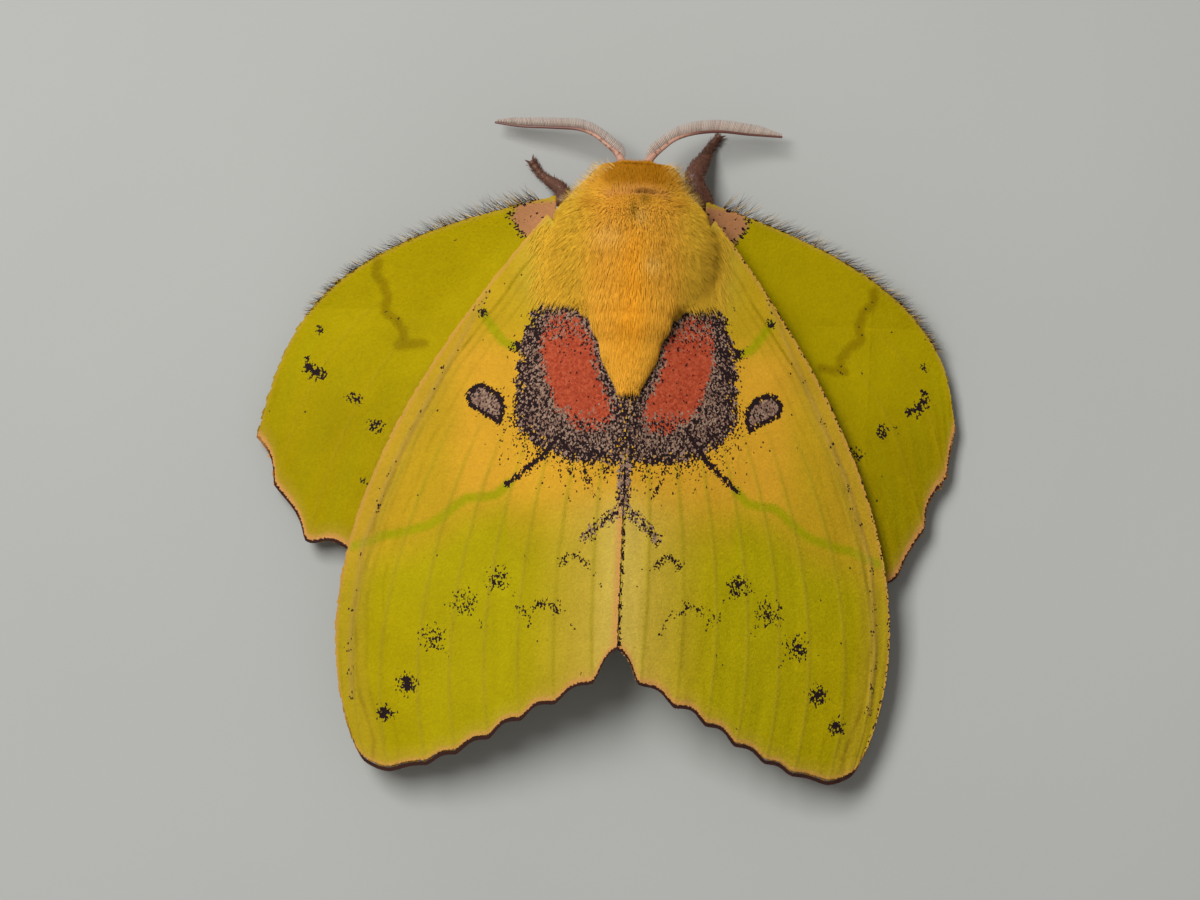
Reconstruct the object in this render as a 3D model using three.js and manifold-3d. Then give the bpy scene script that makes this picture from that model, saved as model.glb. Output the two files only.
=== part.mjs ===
// A female rose-myrtle lappet moth (Trabala) at rest, life size, in millimetres.
// +Y points to the head, +X to the moth's right, +Z up. The moth rests on the soles of
// its six feet at z = 0, with its forewings folded like a low roof and the front edge
// of its hindwings showing beside them. Hair and scales are counted in every outline.
import * as THREE from "three";
import { mergeVertices } from "three/addons/utils/BufferGeometryUtils.js";
import Module from "manifold-3d";

const wasm = await Module();
wasm.setup();

// ---- driving dimensions ------------------------------------------------------------
const WING_SHEET = 0.5; // thickness of every wing
const JOINT_GAP = 0.3; // air between pieces that touch in life
const MID_GAP = 0.15; // from the midline to each forewing's inner edge

// Forewing plan: front edge from shoulder to tip, inner edge along the midline. The
// outer edges are scalloped: a list of crests, one at the end of each vein, each with
// the depth of the hollow between it and the next.
const SHOULDER = [4.9, 11.8];
const FRONT_PULLS = [[12.85, 2.2], [19.1, -9.4]];
const FRONT_END = [15.03, -19.4];
const INNER_ROOT = [MID_GAP, 5.5];
const FORE_CRESTS = [
  [MID_GAP, -13.3, 0.28], [1.38, -15.36, 0.4], [3.5, -16.65, 0.36], [5.43, -17.7, 0.32],
  [7.22, -18.86, 0.27], [9.06, -19.85, 0.22], [10.75, -20.57, 0.15], [12.9, -21.05, 0.02],
  [14.3, -20.55, 0], [...FRONT_END, 0],
];
const REARMOST_Y = -21.1;
const HOLLOW_SKEW = 0.85; // below 1 the hollows are deepest nearer the inner crest
const HOLLOW_SHARPNESS = 1.5; // lower makes the crests sharper
const HOLLOW_REACH = 8; // higher keeps the scallops closer to the edge

// Forewing height: a ridge along the midline, falling to the front edge.
const RIDGE_TOP = 8.35; // where the wings leave the thorax
const RIDGE_AT_ROOT = 8.0; // at RIDGE_ROOT_Y, from where it falls in a straight line
const RIDGE_ROOT_Y = 1.1;
const RIDGE_SLOPE = 0.1;
const FRONT_EDGE_HEIGHTS = [5.5, 4.3, 3.6, 3.1, 2.6, 2.2]; // shoulder to tip, evenly spaced
const ROOF_CURVE = 1.3; // above 1 the roof is rounder near the ridge

// Hindwing plan and height. The left one is drawn a little further forward.
const HIND_ROOT = [4.4, 12.9];
const HIND_INNER = [4.1, 5.6];
const HIND_SIDES = {
  left: {
    frontPulls: [[19.0, 9.3], [19.75, 4.8]],
    crests: [
      [4.2, -8.8, 0.3], [8.2, -9.75, 0.3], [12.2, -9.35, 0.3], [15.9, -8.1, 0.35],
      [18.25, -7.75, 0.45], [20.2, -4.55, 0.4], [21.35, -1.75, 0],
    ],
  },
  right: {
    frontPulls: [[20.45, 8.3], [19.3, 2.75]],
    crests: [
      [4.2, -8.8, 0.3], [8.45, -10.25, 0.3], [12.4, -10.15, 0.3], [16.5, -8.9, 0.3],
      [18.25, -5.8, 0.45], [19.5, -2.65, 0.1], [19.95, 0.2, 0],
    ],
  },
};
const HIND_EDGE_X = 20.5;
const HIND_EDGE_HEIGHT = 1.2;
const HIND_SLOPE = 0.2;
const HIND_SLOPE_WIDTH = 6; // further in than this it runs level
const HIND_ROOT_RISE = 0.28; // slope up to the shoulder
const HIND_RISE_FROM_Y = 6;
const HIND_DROP = 1.15; // how far the hindwing's face lies below the forewing's
const HIND_BLEND = 0.25; // rounding where it comes out from under the forewing

// Body sections along Y: [y, half width, lowest z, height of the widest point, highest z,
// middle x]. The head is turned a little to the moth's right.
const HEAD = [
  [15.15, 0.6, 3.7, 4.6, 5.6, 0.25],
  [14.95, 1.4, 3.1, 4.6, 6.3, 0.25],
  [14.6, 2.1, 2.6, 4.6, 7.0, 0.25],
  [13.9, 2.85, 2.2, 4.7, 7.6, 0.2],
  [13.3, 3.35, 2.1, 4.8, 8.0, 0.1],
  [12.9, 3.5, 2.3, 4.9, 8.1, 0],
];
const THORAX = [
  [12.6, 3.7, 2.3, 5.0, 8.2],
  [12.2, 4.3, 1.9, 5.0, 8.6],
  [11.3, 4.5, 1.6, 5.1, 9.1],
  [10.0, 4.5, 1.5, 5.2, 9.4],
  [8.5, 4.3, 1.5, 5.2, 9.5],
  [7.0, 4.0, 1.6, 5.2, 9.4],
  [5.8, 3.5, 1.9, 5.2, 9.15],
  [5.3, 3.2, 2.3, 5.3, 9.0],
  [5.0, 2.0, 7.0, 7.9, 8.95],
  [4.0, 1.8, 7.0, 7.8, 8.8],
  [3.0, 1.4, 6.95, 7.7, 8.65],
  [2.2, 0.9, 7.0, 7.6, 8.5],
  [1.5, 0.35, 7.2, 7.6, 8.25],
];
const ABDOMEN = [
  [4.7, 2.6, 2.6, 4.4, 6.2],
  [4.3, 3.4, 1.8, 4.3, 6.6],
  [2.5, 3.75, 1.1, 4.0, 6.65],
  [0.0, 3.8, 0.9, 3.7, 6.55],
  [-2.5, 3.6, 0.9, 3.4, 5.95],
  [-5.0, 3.3, 0.9, 3.1, 5.35],
  [-7.5, 2.8, 0.9, 2.8, 4.7],
  [-9.5, 2.2, 1.0, 2.5, 4.2],
  [-11.0, 1.4, 1.3, 2.4, 3.6],
  [-11.6, 0.5, 1.9, 2.4, 3.0],
];
const BODY_SQUARENESS = 2.2; // exponent of the cross-sections; 2 is an ellipse

const EYE_CENTRES = { left: [-1.75, 13.75, 3.7], right: [2.15, 13.75, 3.7] };
const EYE_RADIUS = 0.85;

// Limbs: points of the centre line with the half width and half height there, all the
// way to the tips of the hair. Feelers are flat blades, a shaft with a forward comb.
const FEELERS = {
  left: [
    [-0.5, 14.6, 4.7, 0.42, 0.36], [-0.85, 15.6, 3.9, 0.36, 0.3], [-1.75, 16.6, 3.2, 0.34, 0.27],
    [-2.95, 17.2, 2.6, 0.36, 0.26], [-4.7, 17.3, 1.9, 0.34, 0.26], [-6.5, 17.3, 1.4, 0.3, 0.25],
    [-8.0, 17.4, 1.1, 0.22, 0.22],
  ],
  right: [
    [0.6, 14.6, 4.7, 0.42, 0.36], [1.25, 15.6, 3.9, 0.36, 0.3], [2.15, 16.6, 3.4, 0.36, 0.27],
    [3.4, 17.2, 3.0, 0.4, 0.26], [5.1, 17.45, 2.6, 0.4, 0.26], [7.05, 17.35, 2.0, 0.36, 0.25],
    [9.0, 17.2, 1.6, 0.25, 0.25],
  ],
};
const PALP = [
  [0.7, 13.7, 1.6, 0.4, 0.4], [0.75, 14.3, 1.8, 0.48, 0.48], [0.7, 14.65, 2.25, 0.4, 0.4],
  [0.65, 14.8, 2.7, 0.28, 0.28],
];
const FORELEGS = {
  left: [
    [-2.4, 12.2, 1.4, 0.6, 0.5], [-3.8, 12.7, 1.8, 0.6, 0.6], [-3.9, 13.4, 1.5, 0.5, 0.55],
    [-4.65, 14.0, 0.7, 0.4, 0.5], [-5.25, 14.5, 0.28, 0.4, 0.42], [-5.75, 15.2, 0.2, 0.42, 0.35],
  ],
  right: [
    [2.5, 11.9, 1.3, 0.65, 0.5], [4.45, 12.5, 2.1, 0.75, 0.65], [3.8, 14.2, 2.3, 0.75, 0.65],
    [4.35, 15.5, 1.2, 0.58, 0.55], [4.9, 16.4, 0.36, 0.45, 0.42], [5.4, 17.1, 0.2, 0.42, 0.35],
  ],
};
const MIDLEG = [
  [2.3, 9.4, 1.3, 0.6, 0.45], [4.6, 9.2, 1.9, 0.55, 0.5], [6.3, 8.4, 1.7, 0.5, 0.5],
  [7.6, 7.2, 0.7, 0.4, 0.45], [8.6, 6.2, 0.25, 0.38, 0.38], [9.3, 5.5, 0.2, 0.38, 0.32],
];
const HINDLEG = [
  [2.2, 6.6, 1.4, 0.6, 0.45], [4.6, 4.6, 1.9, 0.55, 0.5], [6.0, 2.0, 1.7, 0.5, 0.5],
  [6.6, -1.2, 0.7, 0.4, 0.45], [6.9, -3.4, 0.25, 0.38, 0.38], [7.1, -4.8, 0.2, 0.38, 0.32],
];

// Mesh fineness.
const BODY_SIDES = 20;
const LIMB_SIDES = 8;
const LIMB_STEPS = 10;
const EYE_FACETS = [12, 8];
const WING_STEPS = 9; // root to outer edge
const SPANS_PER_CREST = 4;
const TIP_CROWDING = 1.5; // above 1 the steps lie closer together towards the outer edge

// ---- colours -----------------------------------------------------------------------
const finish = (color, roughness) => new THREE.MeshStandardMaterial({ color, roughness, metalness: 0 });
const COLOURS = {
  goldenHair: finish("#cf942c", 0.9),
  foreScales: finish("#b39e26", 0.7),
  hindScales: finish("#a3920f", 0.7),
  brownHair: finish("#6b3f33", 0.9),
  feelerHorn: finish("#b08a72", 0.6),
  eyeLens: finish("#1c1410", 0.25),
};

// ---- shape makers ------------------------------------------------------------------

// Turns a grid of closed rings, end to end, into one closed body.
function closedRings(rings) {
  const sides = rings[0].length;
  const corners = rings.flat(2);
  const faces = [];
  for (let r = 0; r + 1 < rings.length; r += 1) {
    for (let s = 0; s < sides; s += 1) {
      const here = r * sides + s;
      const next = r * sides + ((s + 1) % sides);
      faces.push(here, next, next + sides, here, next + sides, here + sides);
    }
  }
  for (const [ring, flip] of [[0, true], [rings.length - 1, false]]) {
    const middle = corners.length / 3;
    for (let axis = 0; axis < 3; axis += 1) {
      corners.push(rings[ring].reduce((sum, corner) => sum + corner[axis], 0) / sides);
    }
    for (let s = 0; s < sides; s += 1) {
      const here = ring * sides + s;
      const next = ring * sides + ((s + 1) % sides);
      faces.push(middle, flip ? next : here, flip ? here : next);
    }
  }
  const geometry = new THREE.BufferGeometry();
  geometry.setAttribute("position", new THREE.Float32BufferAttribute(corners, 3));
  geometry.setIndex(faces);
  return geometry;
}

// A body part from its sections along Y, swollen by grow on every side.
function trunk(sections, grow = 0) {
  const last = sections.length - 1;
  const rings = sections.map(([y, halfWidth, low, waist, high, middle = 0], index) => {
    const ring = [];
    const endShift = index === 0 ? grow : index === last ? -grow : 0;
    for (let side = 0; side < BODY_SIDES; side += 1) {
      const angle = (2 * Math.PI * side) / BODY_SIDES;
      const round = (value) => Math.sign(value) * Math.abs(value) ** (2 / BODY_SQUARENESS);
      const reach = Math.sin(angle) > 0 ? high - waist : waist - low;
      ring.push([
        middle + round(Math.cos(angle)) * (halfWidth + grow),
        y + endShift,
        waist + round(Math.sin(angle)) * (reach + grow),
      ]);
    }
    return ring;
  });
  return closedRings(rings);
}

// A leg, palp or feeler: ovals along a smooth line, flattened where they meet the floor.
function limb(points, mirrored = false) {
  const side = mirrored ? -1 : 1;
  const line = new THREE.CatmullRomCurve3(points.map(([x, y, z]) => new THREE.Vector3(x * side, y, z)));
  const sizes = new THREE.CatmullRomCurve3(
    points.map(([, , , width, height]) => new THREE.Vector3(width, height, 0)),
  );
  const up = new THREE.Vector3(0, 0, 1);
  const rings = [];
  for (let step = 0; step <= LIMB_STEPS; step += 1) {
    const t = step / LIMB_STEPS;
    const centre = line.getPoint(t);
    const [halfWidth, halfHeight] = sizes.getPoint(t).toArray();
    const along = line.getTangent(t);
    const across = new THREE.Vector3().crossVectors(along, up).normalize();
    const over = new THREE.Vector3().crossVectors(across, along);
    const ring = [];
    for (let s = 0; s < LIMB_SIDES; s += 1) {
      const angle = (2 * Math.PI * (s + 0.5)) / LIMB_SIDES;
      const corner = centre.clone()
        .addScaledVector(across, halfWidth * Math.cos(angle))
        .addScaledVector(over, halfHeight * Math.sin(angle));
      ring.push([corner.x, corner.y, Math.max(corner.z, 0)]);
    }
    rings.push(ring);
  }
  return closedRings(rings.reverse());
}

// A wing: a sheet whose upper face is plan(u, v) lifted to height(x, y).
// u runs from the root to the outer edge and v from the inner edge to the front edge.
function wing(plan, height, crests, side) {
  const spans = (crests.length - 1) * SPANS_PER_CREST;
  const rings = [];
  for (let span = 0; span <= spans; span += 1) {
    const row = [];
    for (let step = 0; step <= WING_STEPS; step += 1) {
      const along = 1 - (1 - step / WING_STEPS) ** TIP_CROWDING;
      const [x, y] = plan(along, span / spans);
      row.push([x * side, y, height(x, y)]);
    }
    const under = row.map(([x, y, z]) => [x, y, z - WING_SHEET]).reverse();
    rings.push([...row, ...under]);
  }
  return closedSheet(side > 0 ? rings.reverse() : rings);
}

// Like closedRings, but each end is closed by a strip between its upper and lower rows.
function closedSheet(rings) {
  const sides = rings[0].length;
  const faces = [];
  for (let r = 0; r + 1 < rings.length; r += 1) {
    for (let s = 0; s < sides; s += 1) {
      const here = r * sides + s;
      const next = r * sides + ((s + 1) % sides);
      faces.push(here, next + sides, next, here, here + sides, next + sides);
    }
  }
  for (const [ring, flip] of [[0, false], [rings.length - 1, true]]) {
    for (let s = 0; s + 1 < sides / 2; s += 1) {
      const [a, b] = [ring * sides + s, ring * sides + s + 1];
      const [c, d] = [(ring + 1) * sides - 1 - s, (ring + 1) * sides - 2 - s];
      faces.push(...(flip ? [a, d, b, a, c, d] : [a, b, d, a, d, c]));
    }
  }
  const geometry = new THREE.BufferGeometry();
  geometry.setAttribute("position", new THREE.Float32BufferAttribute(rings.flat(2), 3));
  geometry.setIndex(faces);
  return geometry;
}

// Takes the cutters' shapes out of a geometry.
function cutAway(geometry, ...cutters) {
  const solidOf = (shape) => {
    const bare = new THREE.BufferGeometry();
    bare.setAttribute("position", shape.getAttribute("position"));
    bare.setIndex(shape.getIndex());
    const merged = mergeVertices(bare, 1e-4);
    return new wasm.Manifold(new wasm.Mesh({
      numProp: 3,
      vertProperties: new Float32Array(merged.getAttribute("position").array),
      triVerts: new Uint32Array(merged.getIndex().array),
    }));
  };
  let solid = solidOf(geometry);
  for (const cutter of cutters) solid = solid.subtract(solidOf(cutter));
  const { vertProperties, triVerts } = solid.getMesh();
  const result = new THREE.BufferGeometry();
  result.setAttribute("position", new THREE.Float32BufferAttribute(vertProperties, 3));
  result.setIndex(new THREE.Uint32BufferAttribute(triVerts, 1));
  return result;
}

// ---- wing outlines and heights -----------------------------------------------------
const flat = ([x, y]) => new THREE.Vector2(x, y);
const mix = (a, b, t) => a + (b - a) * t;

// Blends four edges into one patch, with hollows between the crests of the outer edge.
function patch(inner, front, root, crests) {
  const outer = new THREE.CatmullRomCurve3(crests.map(([x, y]) => new THREE.Vector3(x, y, 0)), false, "catmullrom");
  return (u, v) => {
    const [i, f, r, o] = [inner.getPoint(u), front.getPoint(u), root.getPoint(v), outer.getPoint(v)];
    const corner = (axis) => mix(
      mix(inner.getPoint(0)[axis], inner.getPoint(1)[axis], u),
      mix(front.getPoint(0)[axis], front.getPoint(1)[axis], u),
      v,
    );
    const place = v * (crests.length - 1);
    const crest = Math.min(Math.floor(place), crests.length - 2);
    const bow = Math.sin(Math.PI * Math.min(place - crest, 1) ** HOLLOW_SKEW);
    const hollow = crests[crest][2] * Math.max(bow, 0) ** HOLLOW_SHARPNESS * u ** HOLLOW_REACH;
    const along = outer.getTangent(v);
    return [
      mix(i.x, f.x, v) + mix(r.x, o.x, u) - corner("x") - along.y * hollow,
      mix(i.y, f.y, v) + mix(r.y, o.y, u) - corner("y") + along.x * hollow,
    ];
  };
}

const foreFront = new THREE.CubicBezierCurve(flat(SHOULDER), ...FRONT_PULLS.map(flat), flat(FRONT_END));
const forePlan = patch(
  new THREE.LineCurve(flat(INNER_ROOT), flat(FORE_CRESTS[0])),
  foreFront,
  new THREE.LineCurve(flat(INNER_ROOT), flat(SHOULDER)),
  FORE_CRESTS,
);

function hindPlan({ frontPulls, crests }) {
  return patch(
    new THREE.LineCurve(flat(HIND_INNER), flat(crests[0])),
    new THREE.CubicBezierCurve(flat(HIND_ROOT), ...frontPulls.map(flat), flat(crests.at(-1))),
    new THREE.LineCurve(flat(HIND_INNER), flat(HIND_ROOT)),
    crests,
  );
}

// Distance of the forewing's front edge from the midline, beside a given y.
function frontEdgeX(y) {
  let [low, high] = [0, 1];
  for (let halving = 0; halving < 20; halving += 1) {
    const middle = (low + high) / 2;
    if (foreFront.getPoint(middle).y > y) low = middle;
    else high = middle;
  }
  return foreFront.getPoint(low).x;
}

function foreTop(x, y) {
  const along = THREE.MathUtils.clamp((SHOULDER[1] - y) / (SHOULDER[1] - REARMOST_Y), 0, 1);
  const slot = Math.min(along * (FRONT_EDGE_HEIGHTS.length - 1), FRONT_EDGE_HEIGHTS.length - 1.001);
  const index = Math.floor(slot);
  const edge = mix(FRONT_EDGE_HEIGHTS[index], FRONT_EDGE_HEIGHTS[index + 1], slot - index);
  const ridge = Math.min(RIDGE_TOP, RIDGE_AT_ROOT + RIDGE_SLOPE * (y - RIDGE_ROOT_Y));
  const across = Math.abs(x) / frontEdgeX(y);
  return edge + (ridge - edge) * (1 - across ** ROOF_CURVE);
}

function hindTop(x, y) {
  const covered = foreTop(x, y) - HIND_DROP;
  const open = HIND_EDGE_HEIGHT + HIND_SLOPE * Math.min(HIND_EDGE_X - x, HIND_SLOPE_WIDTH)
    + HIND_ROOT_RISE * Math.max(0, y - HIND_RISE_FROM_Y);
  return HIND_BLEND * Math.log(Math.exp(covered / HIND_BLEND) + Math.exp(open / HIND_BLEND));
}

// ---- the moth ----------------------------------------------------------------------
const moth = new THREE.Group();

function add(name, geometry, material) {
  const mesh = new THREE.Mesh(geometry, material);
  mesh.name = name;
  moth.add(mesh);
}

const SIDES = { left: -1, right: 1 };
const headClearance = trunk(HEAD, JOINT_GAP);
const thoraxClearance = trunk(THORAX, JOINT_GAP);

const eyeBall = (side, radius) => new THREE.SphereGeometry(radius, ...EYE_FACETS)
  .translate(...EYE_CENTRES[side]);
add("head", cutAway(
  trunk(HEAD),
  eyeBall("left", EYE_RADIUS + JOINT_GAP),
  eyeBall("right", EYE_RADIUS + JOINT_GAP),
), COLOURS.goldenHair);
add("thorax", trunk(THORAX), COLOURS.goldenHair);
add("abdomen", trunk(ABDOMEN), COLOURS.goldenHair);

for (const [name, side] of Object.entries(SIDES)) {
  const mirrored = side < 0;
  const forewing = wing(forePlan, foreTop, FORE_CRESTS, side);
  const hindwing = wing(hindPlan(HIND_SIDES[name]), hindTop, HIND_SIDES[name].crests, side);
  add(`forewing_${name}`, cutAway(forewing, thoraxClearance), COLOURS.foreScales);
  add(`hindwing_${name}`, cutAway(hindwing, thoraxClearance), COLOURS.hindScales);
  add(`eye_${name}`, eyeBall(name, EYE_RADIUS), COLOURS.eyeLens);
  add(`antenna_${name}`, cutAway(limb(FEELERS[name]), headClearance), COLOURS.feelerHorn);
  add(`palp_${name}`, cutAway(limb(PALP, mirrored), headClearance), COLOURS.brownHair);
  add(`foreleg_${name}`, cutAway(limb(FORELEGS[name]), thoraxClearance, headClearance), COLOURS.brownHair);
  add(`midleg_${name}`, cutAway(limb(MIDLEG, mirrored), thoraxClearance), COLOURS.brownHair);
  add(`hindleg_${name}`, cutAway(limb(HINDLEG, mirrored), thoraxClearance), COLOURS.brownHair);
}

// The origin is on the floor under the middle of the whole moth.
const box = new THREE.Box3().setFromObject(moth);
moth.position.set(-(box.min.x + box.max.x) / 2, -(box.min.y + box.max.y) / 2, -box.min.z);

export default moth;
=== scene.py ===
import math

import bpy
import numpy as np
from mathutils import Matrix, Vector


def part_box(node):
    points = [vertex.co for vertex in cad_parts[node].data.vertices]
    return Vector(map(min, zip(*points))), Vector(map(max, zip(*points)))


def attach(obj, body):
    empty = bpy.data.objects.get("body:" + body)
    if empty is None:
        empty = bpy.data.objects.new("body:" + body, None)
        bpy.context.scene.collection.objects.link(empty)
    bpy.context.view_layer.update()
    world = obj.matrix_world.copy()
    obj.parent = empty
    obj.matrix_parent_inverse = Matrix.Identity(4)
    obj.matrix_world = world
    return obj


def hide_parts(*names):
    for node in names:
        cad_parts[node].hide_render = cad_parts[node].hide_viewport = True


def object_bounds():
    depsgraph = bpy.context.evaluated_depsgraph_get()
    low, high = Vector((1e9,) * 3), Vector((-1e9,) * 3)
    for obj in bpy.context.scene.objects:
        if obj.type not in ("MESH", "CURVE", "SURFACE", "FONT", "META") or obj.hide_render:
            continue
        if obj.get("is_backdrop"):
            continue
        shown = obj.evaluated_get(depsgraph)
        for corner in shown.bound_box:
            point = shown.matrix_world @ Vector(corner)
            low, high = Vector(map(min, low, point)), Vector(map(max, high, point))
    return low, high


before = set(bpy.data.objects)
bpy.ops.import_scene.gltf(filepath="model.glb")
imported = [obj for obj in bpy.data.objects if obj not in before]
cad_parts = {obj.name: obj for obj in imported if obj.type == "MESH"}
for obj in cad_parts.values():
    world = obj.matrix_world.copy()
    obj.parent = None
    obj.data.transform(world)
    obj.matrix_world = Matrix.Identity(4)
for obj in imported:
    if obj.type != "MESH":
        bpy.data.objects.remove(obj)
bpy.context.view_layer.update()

# ==== The body's skin ===============================================================
# The moth's head, thorax and abdomen in one hide of thin tan cuticle, ringed along the
# abdomen. It lies under the coat of hair by the coat's depth, and a flat lobe at its
# back carries the long tuft that lies over the wings.

# The moth's own measure is in millimetres: x from the midline to its right, y to the
# head, z up from the floor. The thorax's box says where that lies in the frame.
MM = 0.001
THORAX_REAR_Y = 1.6
thorax_low, thorax_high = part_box("thorax")
SHIFT = np.array([(thorax_low.x + thorax_high.x) / 2, thorax_low.y - THORAX_REAR_Y * MM, 0.0])

# Sections over the tips of the coat: y, half width, lowest, widest and highest z.
BODY_SECTIONS = np.array([
    (15.15, 0.6, 3.7, 4.6, 5.6), (14.95, 1.4, 3.1, 4.6, 6.3), (14.6, 2.1, 2.6, 4.6, 7.0),
    (13.9, 2.85, 2.2, 4.7, 7.6), (13.3, 3.35, 2.1, 4.8, 8.0), (12.9, 3.6, 2.2, 4.9, 8.15),
    (12.6, 3.9, 2.1, 5.0, 8.3), (12.2, 4.3, 1.9, 5.0, 8.6), (11.3, 4.5, 1.6, 5.1, 9.1),
    (10.0, 4.5, 1.5, 5.2, 9.4), (8.5, 4.3, 1.5, 5.2, 9.5), (7.0, 4.0, 1.6, 5.2, 9.35),
    (6.1, 3.6, 1.8, 5.1, 9.1), (5.4, 3.2, 2.1, 4.8, 7.6), (4.6, 3.2, 2.0, 4.4, 6.6),
    (2.5, 3.75, 1.1, 4.0, 6.65), (0.0, 3.8, 0.9, 3.7, 6.55), (-2.5, 3.6, 0.9, 3.4, 5.95),
    (-5.0, 3.3, 0.9, 3.1, 5.35), (-7.5, 2.8, 0.9, 2.8, 4.7), (-9.5, 2.2, 1.0, 2.5, 4.2),
    (-11.0, 1.4, 1.3, 2.4, 3.6), (-11.6, 0.5, 1.9, 2.4, 3.0),
])
LOBE_SECTIONS = np.array([
    (8.2, 2.0, 7.2, 8.0, 9.1), (7.0, 2.5, 7.0, 8.0, 9.2), (5.8, 2.3, 7.0, 8.0, 9.1),
    (5.0, 2.0, 7.0, 7.9, 8.95), (4.0, 1.8, 7.0, 7.8, 8.8), (3.0, 1.4, 6.95, 7.7, 8.65),
    (2.2, 0.9, 7.0, 7.6, 8.5), (1.5, 0.35, 7.2, 7.6, 8.25),
])
SQUARENESS = 2.2  # exponent of a section's outline; 2 would be an ellipse
HEAD_LEAN = 0.25  # the head is turned this far to the moth's right
COAT_DEPTH = 0.5
LOBE_COAT_DEPTH = 0.3
RING_LENGTH = 1.9  # one ring of the abdomen
RING_GROOVE = 0.16
ABDOMEN_START_Y = 4.4
SKIN_GRAIN = 0.14  # the fineness of the melted skin


def in_frame(points):
    """Points in the moth's millimetres as metres in the frame."""
    return np.asarray(points) * MM + SHIFT


def ramp(value, low, high):
    """0 below low, 1 above high and a smooth step between them."""
    part = np.clip((value - low) / (high - low), 0, 1)
    return part * part * (3 - 2 * part)


def unit(vectors):
    """The vectors with a length of one."""
    return vectors / np.maximum(np.linalg.norm(vectors, axis=-1, keepdims=True), 1e-9)


def rounded(sections, reach=4):
    """The sections at every tenth of a millimetre, with the corners between them rounded off."""
    y = np.arange(sections[-1, 0], sections[0, 0] + 0.05, 0.1)
    window = np.hanning(2 * reach + 3)[1:-1]
    columns = []
    for column in sections[::-1, 1:].T:
        values = np.pad(np.interp(y, sections[::-1, 0], column), reach, mode="edge")
        columns.append(np.convolve(values, window / window.sum(), mode="valid"))
    return y, columns


def body_surface(sections, depth, groove=0.0):
    """surface(u, v): u runs from the front end to the rear, v round from belly over back to belly."""
    heights, columns = rounded(sections)
    first, last = sections[0, 0] - 1.1 * depth, sections[-1, 0] + depth

    def surface(u, v):
        y = first + (last - first) * np.asarray(u)
        half, low, waist, high = (np.interp(y, heights, column) for column in columns)
        end = np.sqrt(np.clip(np.minimum(first - y, y - last) / 1.2, 0.04, 1))
        ring = np.cos(2 * np.pi * (y - ABDOMEN_START_Y) / RING_LENGTH)
        inset = depth * end + groove * ramp(ABDOMEN_START_Y - y, 0, 0.3) * np.maximum(ring, 0) ** 8
        angle = 2 * np.pi * (np.asarray(v) - 0.5)
        across, over = np.sin(angle), np.cos(angle)
        reach = np.where(over > 0, high - waist, waist - low) - inset
        x = np.sign(across) * np.abs(across) ** (2 / SQUARENESS) * np.maximum(half - inset, 0.1)
        x = x + HEAD_LEAN * ramp(y, 12.9, 14.3)
        z = waist + np.sign(over) * np.abs(over) ** (2 / SQUARENESS) * np.maximum(reach, 0.1)
        return np.stack([x, y + 0 * x, z], -1)

    return surface


def piece(name, corners, faces, finish, marks=None, bake=None, normals=None):
    """One mesh of the moth: corners in its millimetres, rows of faces with three or four corners.
    Marks are values on the corners, and normals bend the light as on a soft coat."""
    groups = faces if isinstance(faces, list) else [faces]
    sizes = np.concatenate([np.full(len(group), group.shape[1]) for group in groups])
    loops = np.concatenate([group.ravel() for group in groups]).astype(np.int32)
    mesh = bpy.data.meshes.new(name)
    mesh.vertices.add(len(corners))
    mesh.vertices.foreach_set("co", in_frame(corners).astype(np.float32).ravel())
    mesh.loops.add(len(loops))
    mesh.loops.foreach_set("vertex_index", loops)
    mesh.polygons.add(len(sizes))
    mesh.polygons.foreach_set("loop_start", (np.cumsum(sizes) - sizes).astype(np.int32))
    mesh.polygons.foreach_set("use_smooth", np.full(len(sizes), True))
    for mark, values in (marks or {}).items():
        attribute = mesh.attributes.new(mark, "FLOAT", "POINT")
        attribute.data.foreach_set("value", np.asarray(values, np.float32).ravel())
    if bake is not None:
        layer = mesh.uv_layers.new(name="OFBake")
        layer.data.foreach_set("uv", np.asarray(bake, np.float32)[loops].ravel())
    mesh.update(calc_edges=True)
    if normals is not None:
        mesh.normals_split_custom_set_from_vertices(normals.tolist())
    mesh.materials.append(finish)
    made = bpy.data.objects.new(name, mesh)
    bpy.context.scene.collection.objects.link(made)
    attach(made, "root")
    return made


def tube(rows):
    """Faces of a grid of closed rings, rows of corners each, with a fan over each end.
    The two middle corners of the fans come after the rings'."""
    count, around = rows
    here = np.arange(count * around).reshape(count, around)
    beside = np.roll(here, -1, axis=1)
    sides = np.stack([here[:-1], beside[:-1], beside[1:], here[1:]], -1).reshape(-1, 4)
    front = np.stack([beside[0], here[0], np.full(around, count * around)], -1)
    back = np.stack([here[-1], beside[-1], np.full(around, count * around + 1)], -1)
    return [sides, np.concatenate([front, back])]


def paint(colour):
    """An sRGB hex colour as the linear values that a shader takes."""
    parts = np.array([int(colour[place:place + 2], 16) for place in (1, 3, 5)]) / 255
    linear = np.where(parts <= 0.04045, parts / 12.92, ((parts + 0.055) / 1.055) ** 2.4)
    return (*linear.tolist(), 1.0)


def add(finish, kind, inputs=None, **settings):
    """Adds one node with its settings; an input is a value, or the output that feeds it."""
    made = finish.node_tree.nodes.new("ShaderNode" + kind)
    for name, value in settings.items():
        setattr(made, name, value)
    for place, value in (inputs or {}).items():
        if isinstance(value, bpy.types.NodeSocket):
            finish.node_tree.links.new(value, made.inputs[place])
        else:
            made.inputs[place].default_value = value
    return made


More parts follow.
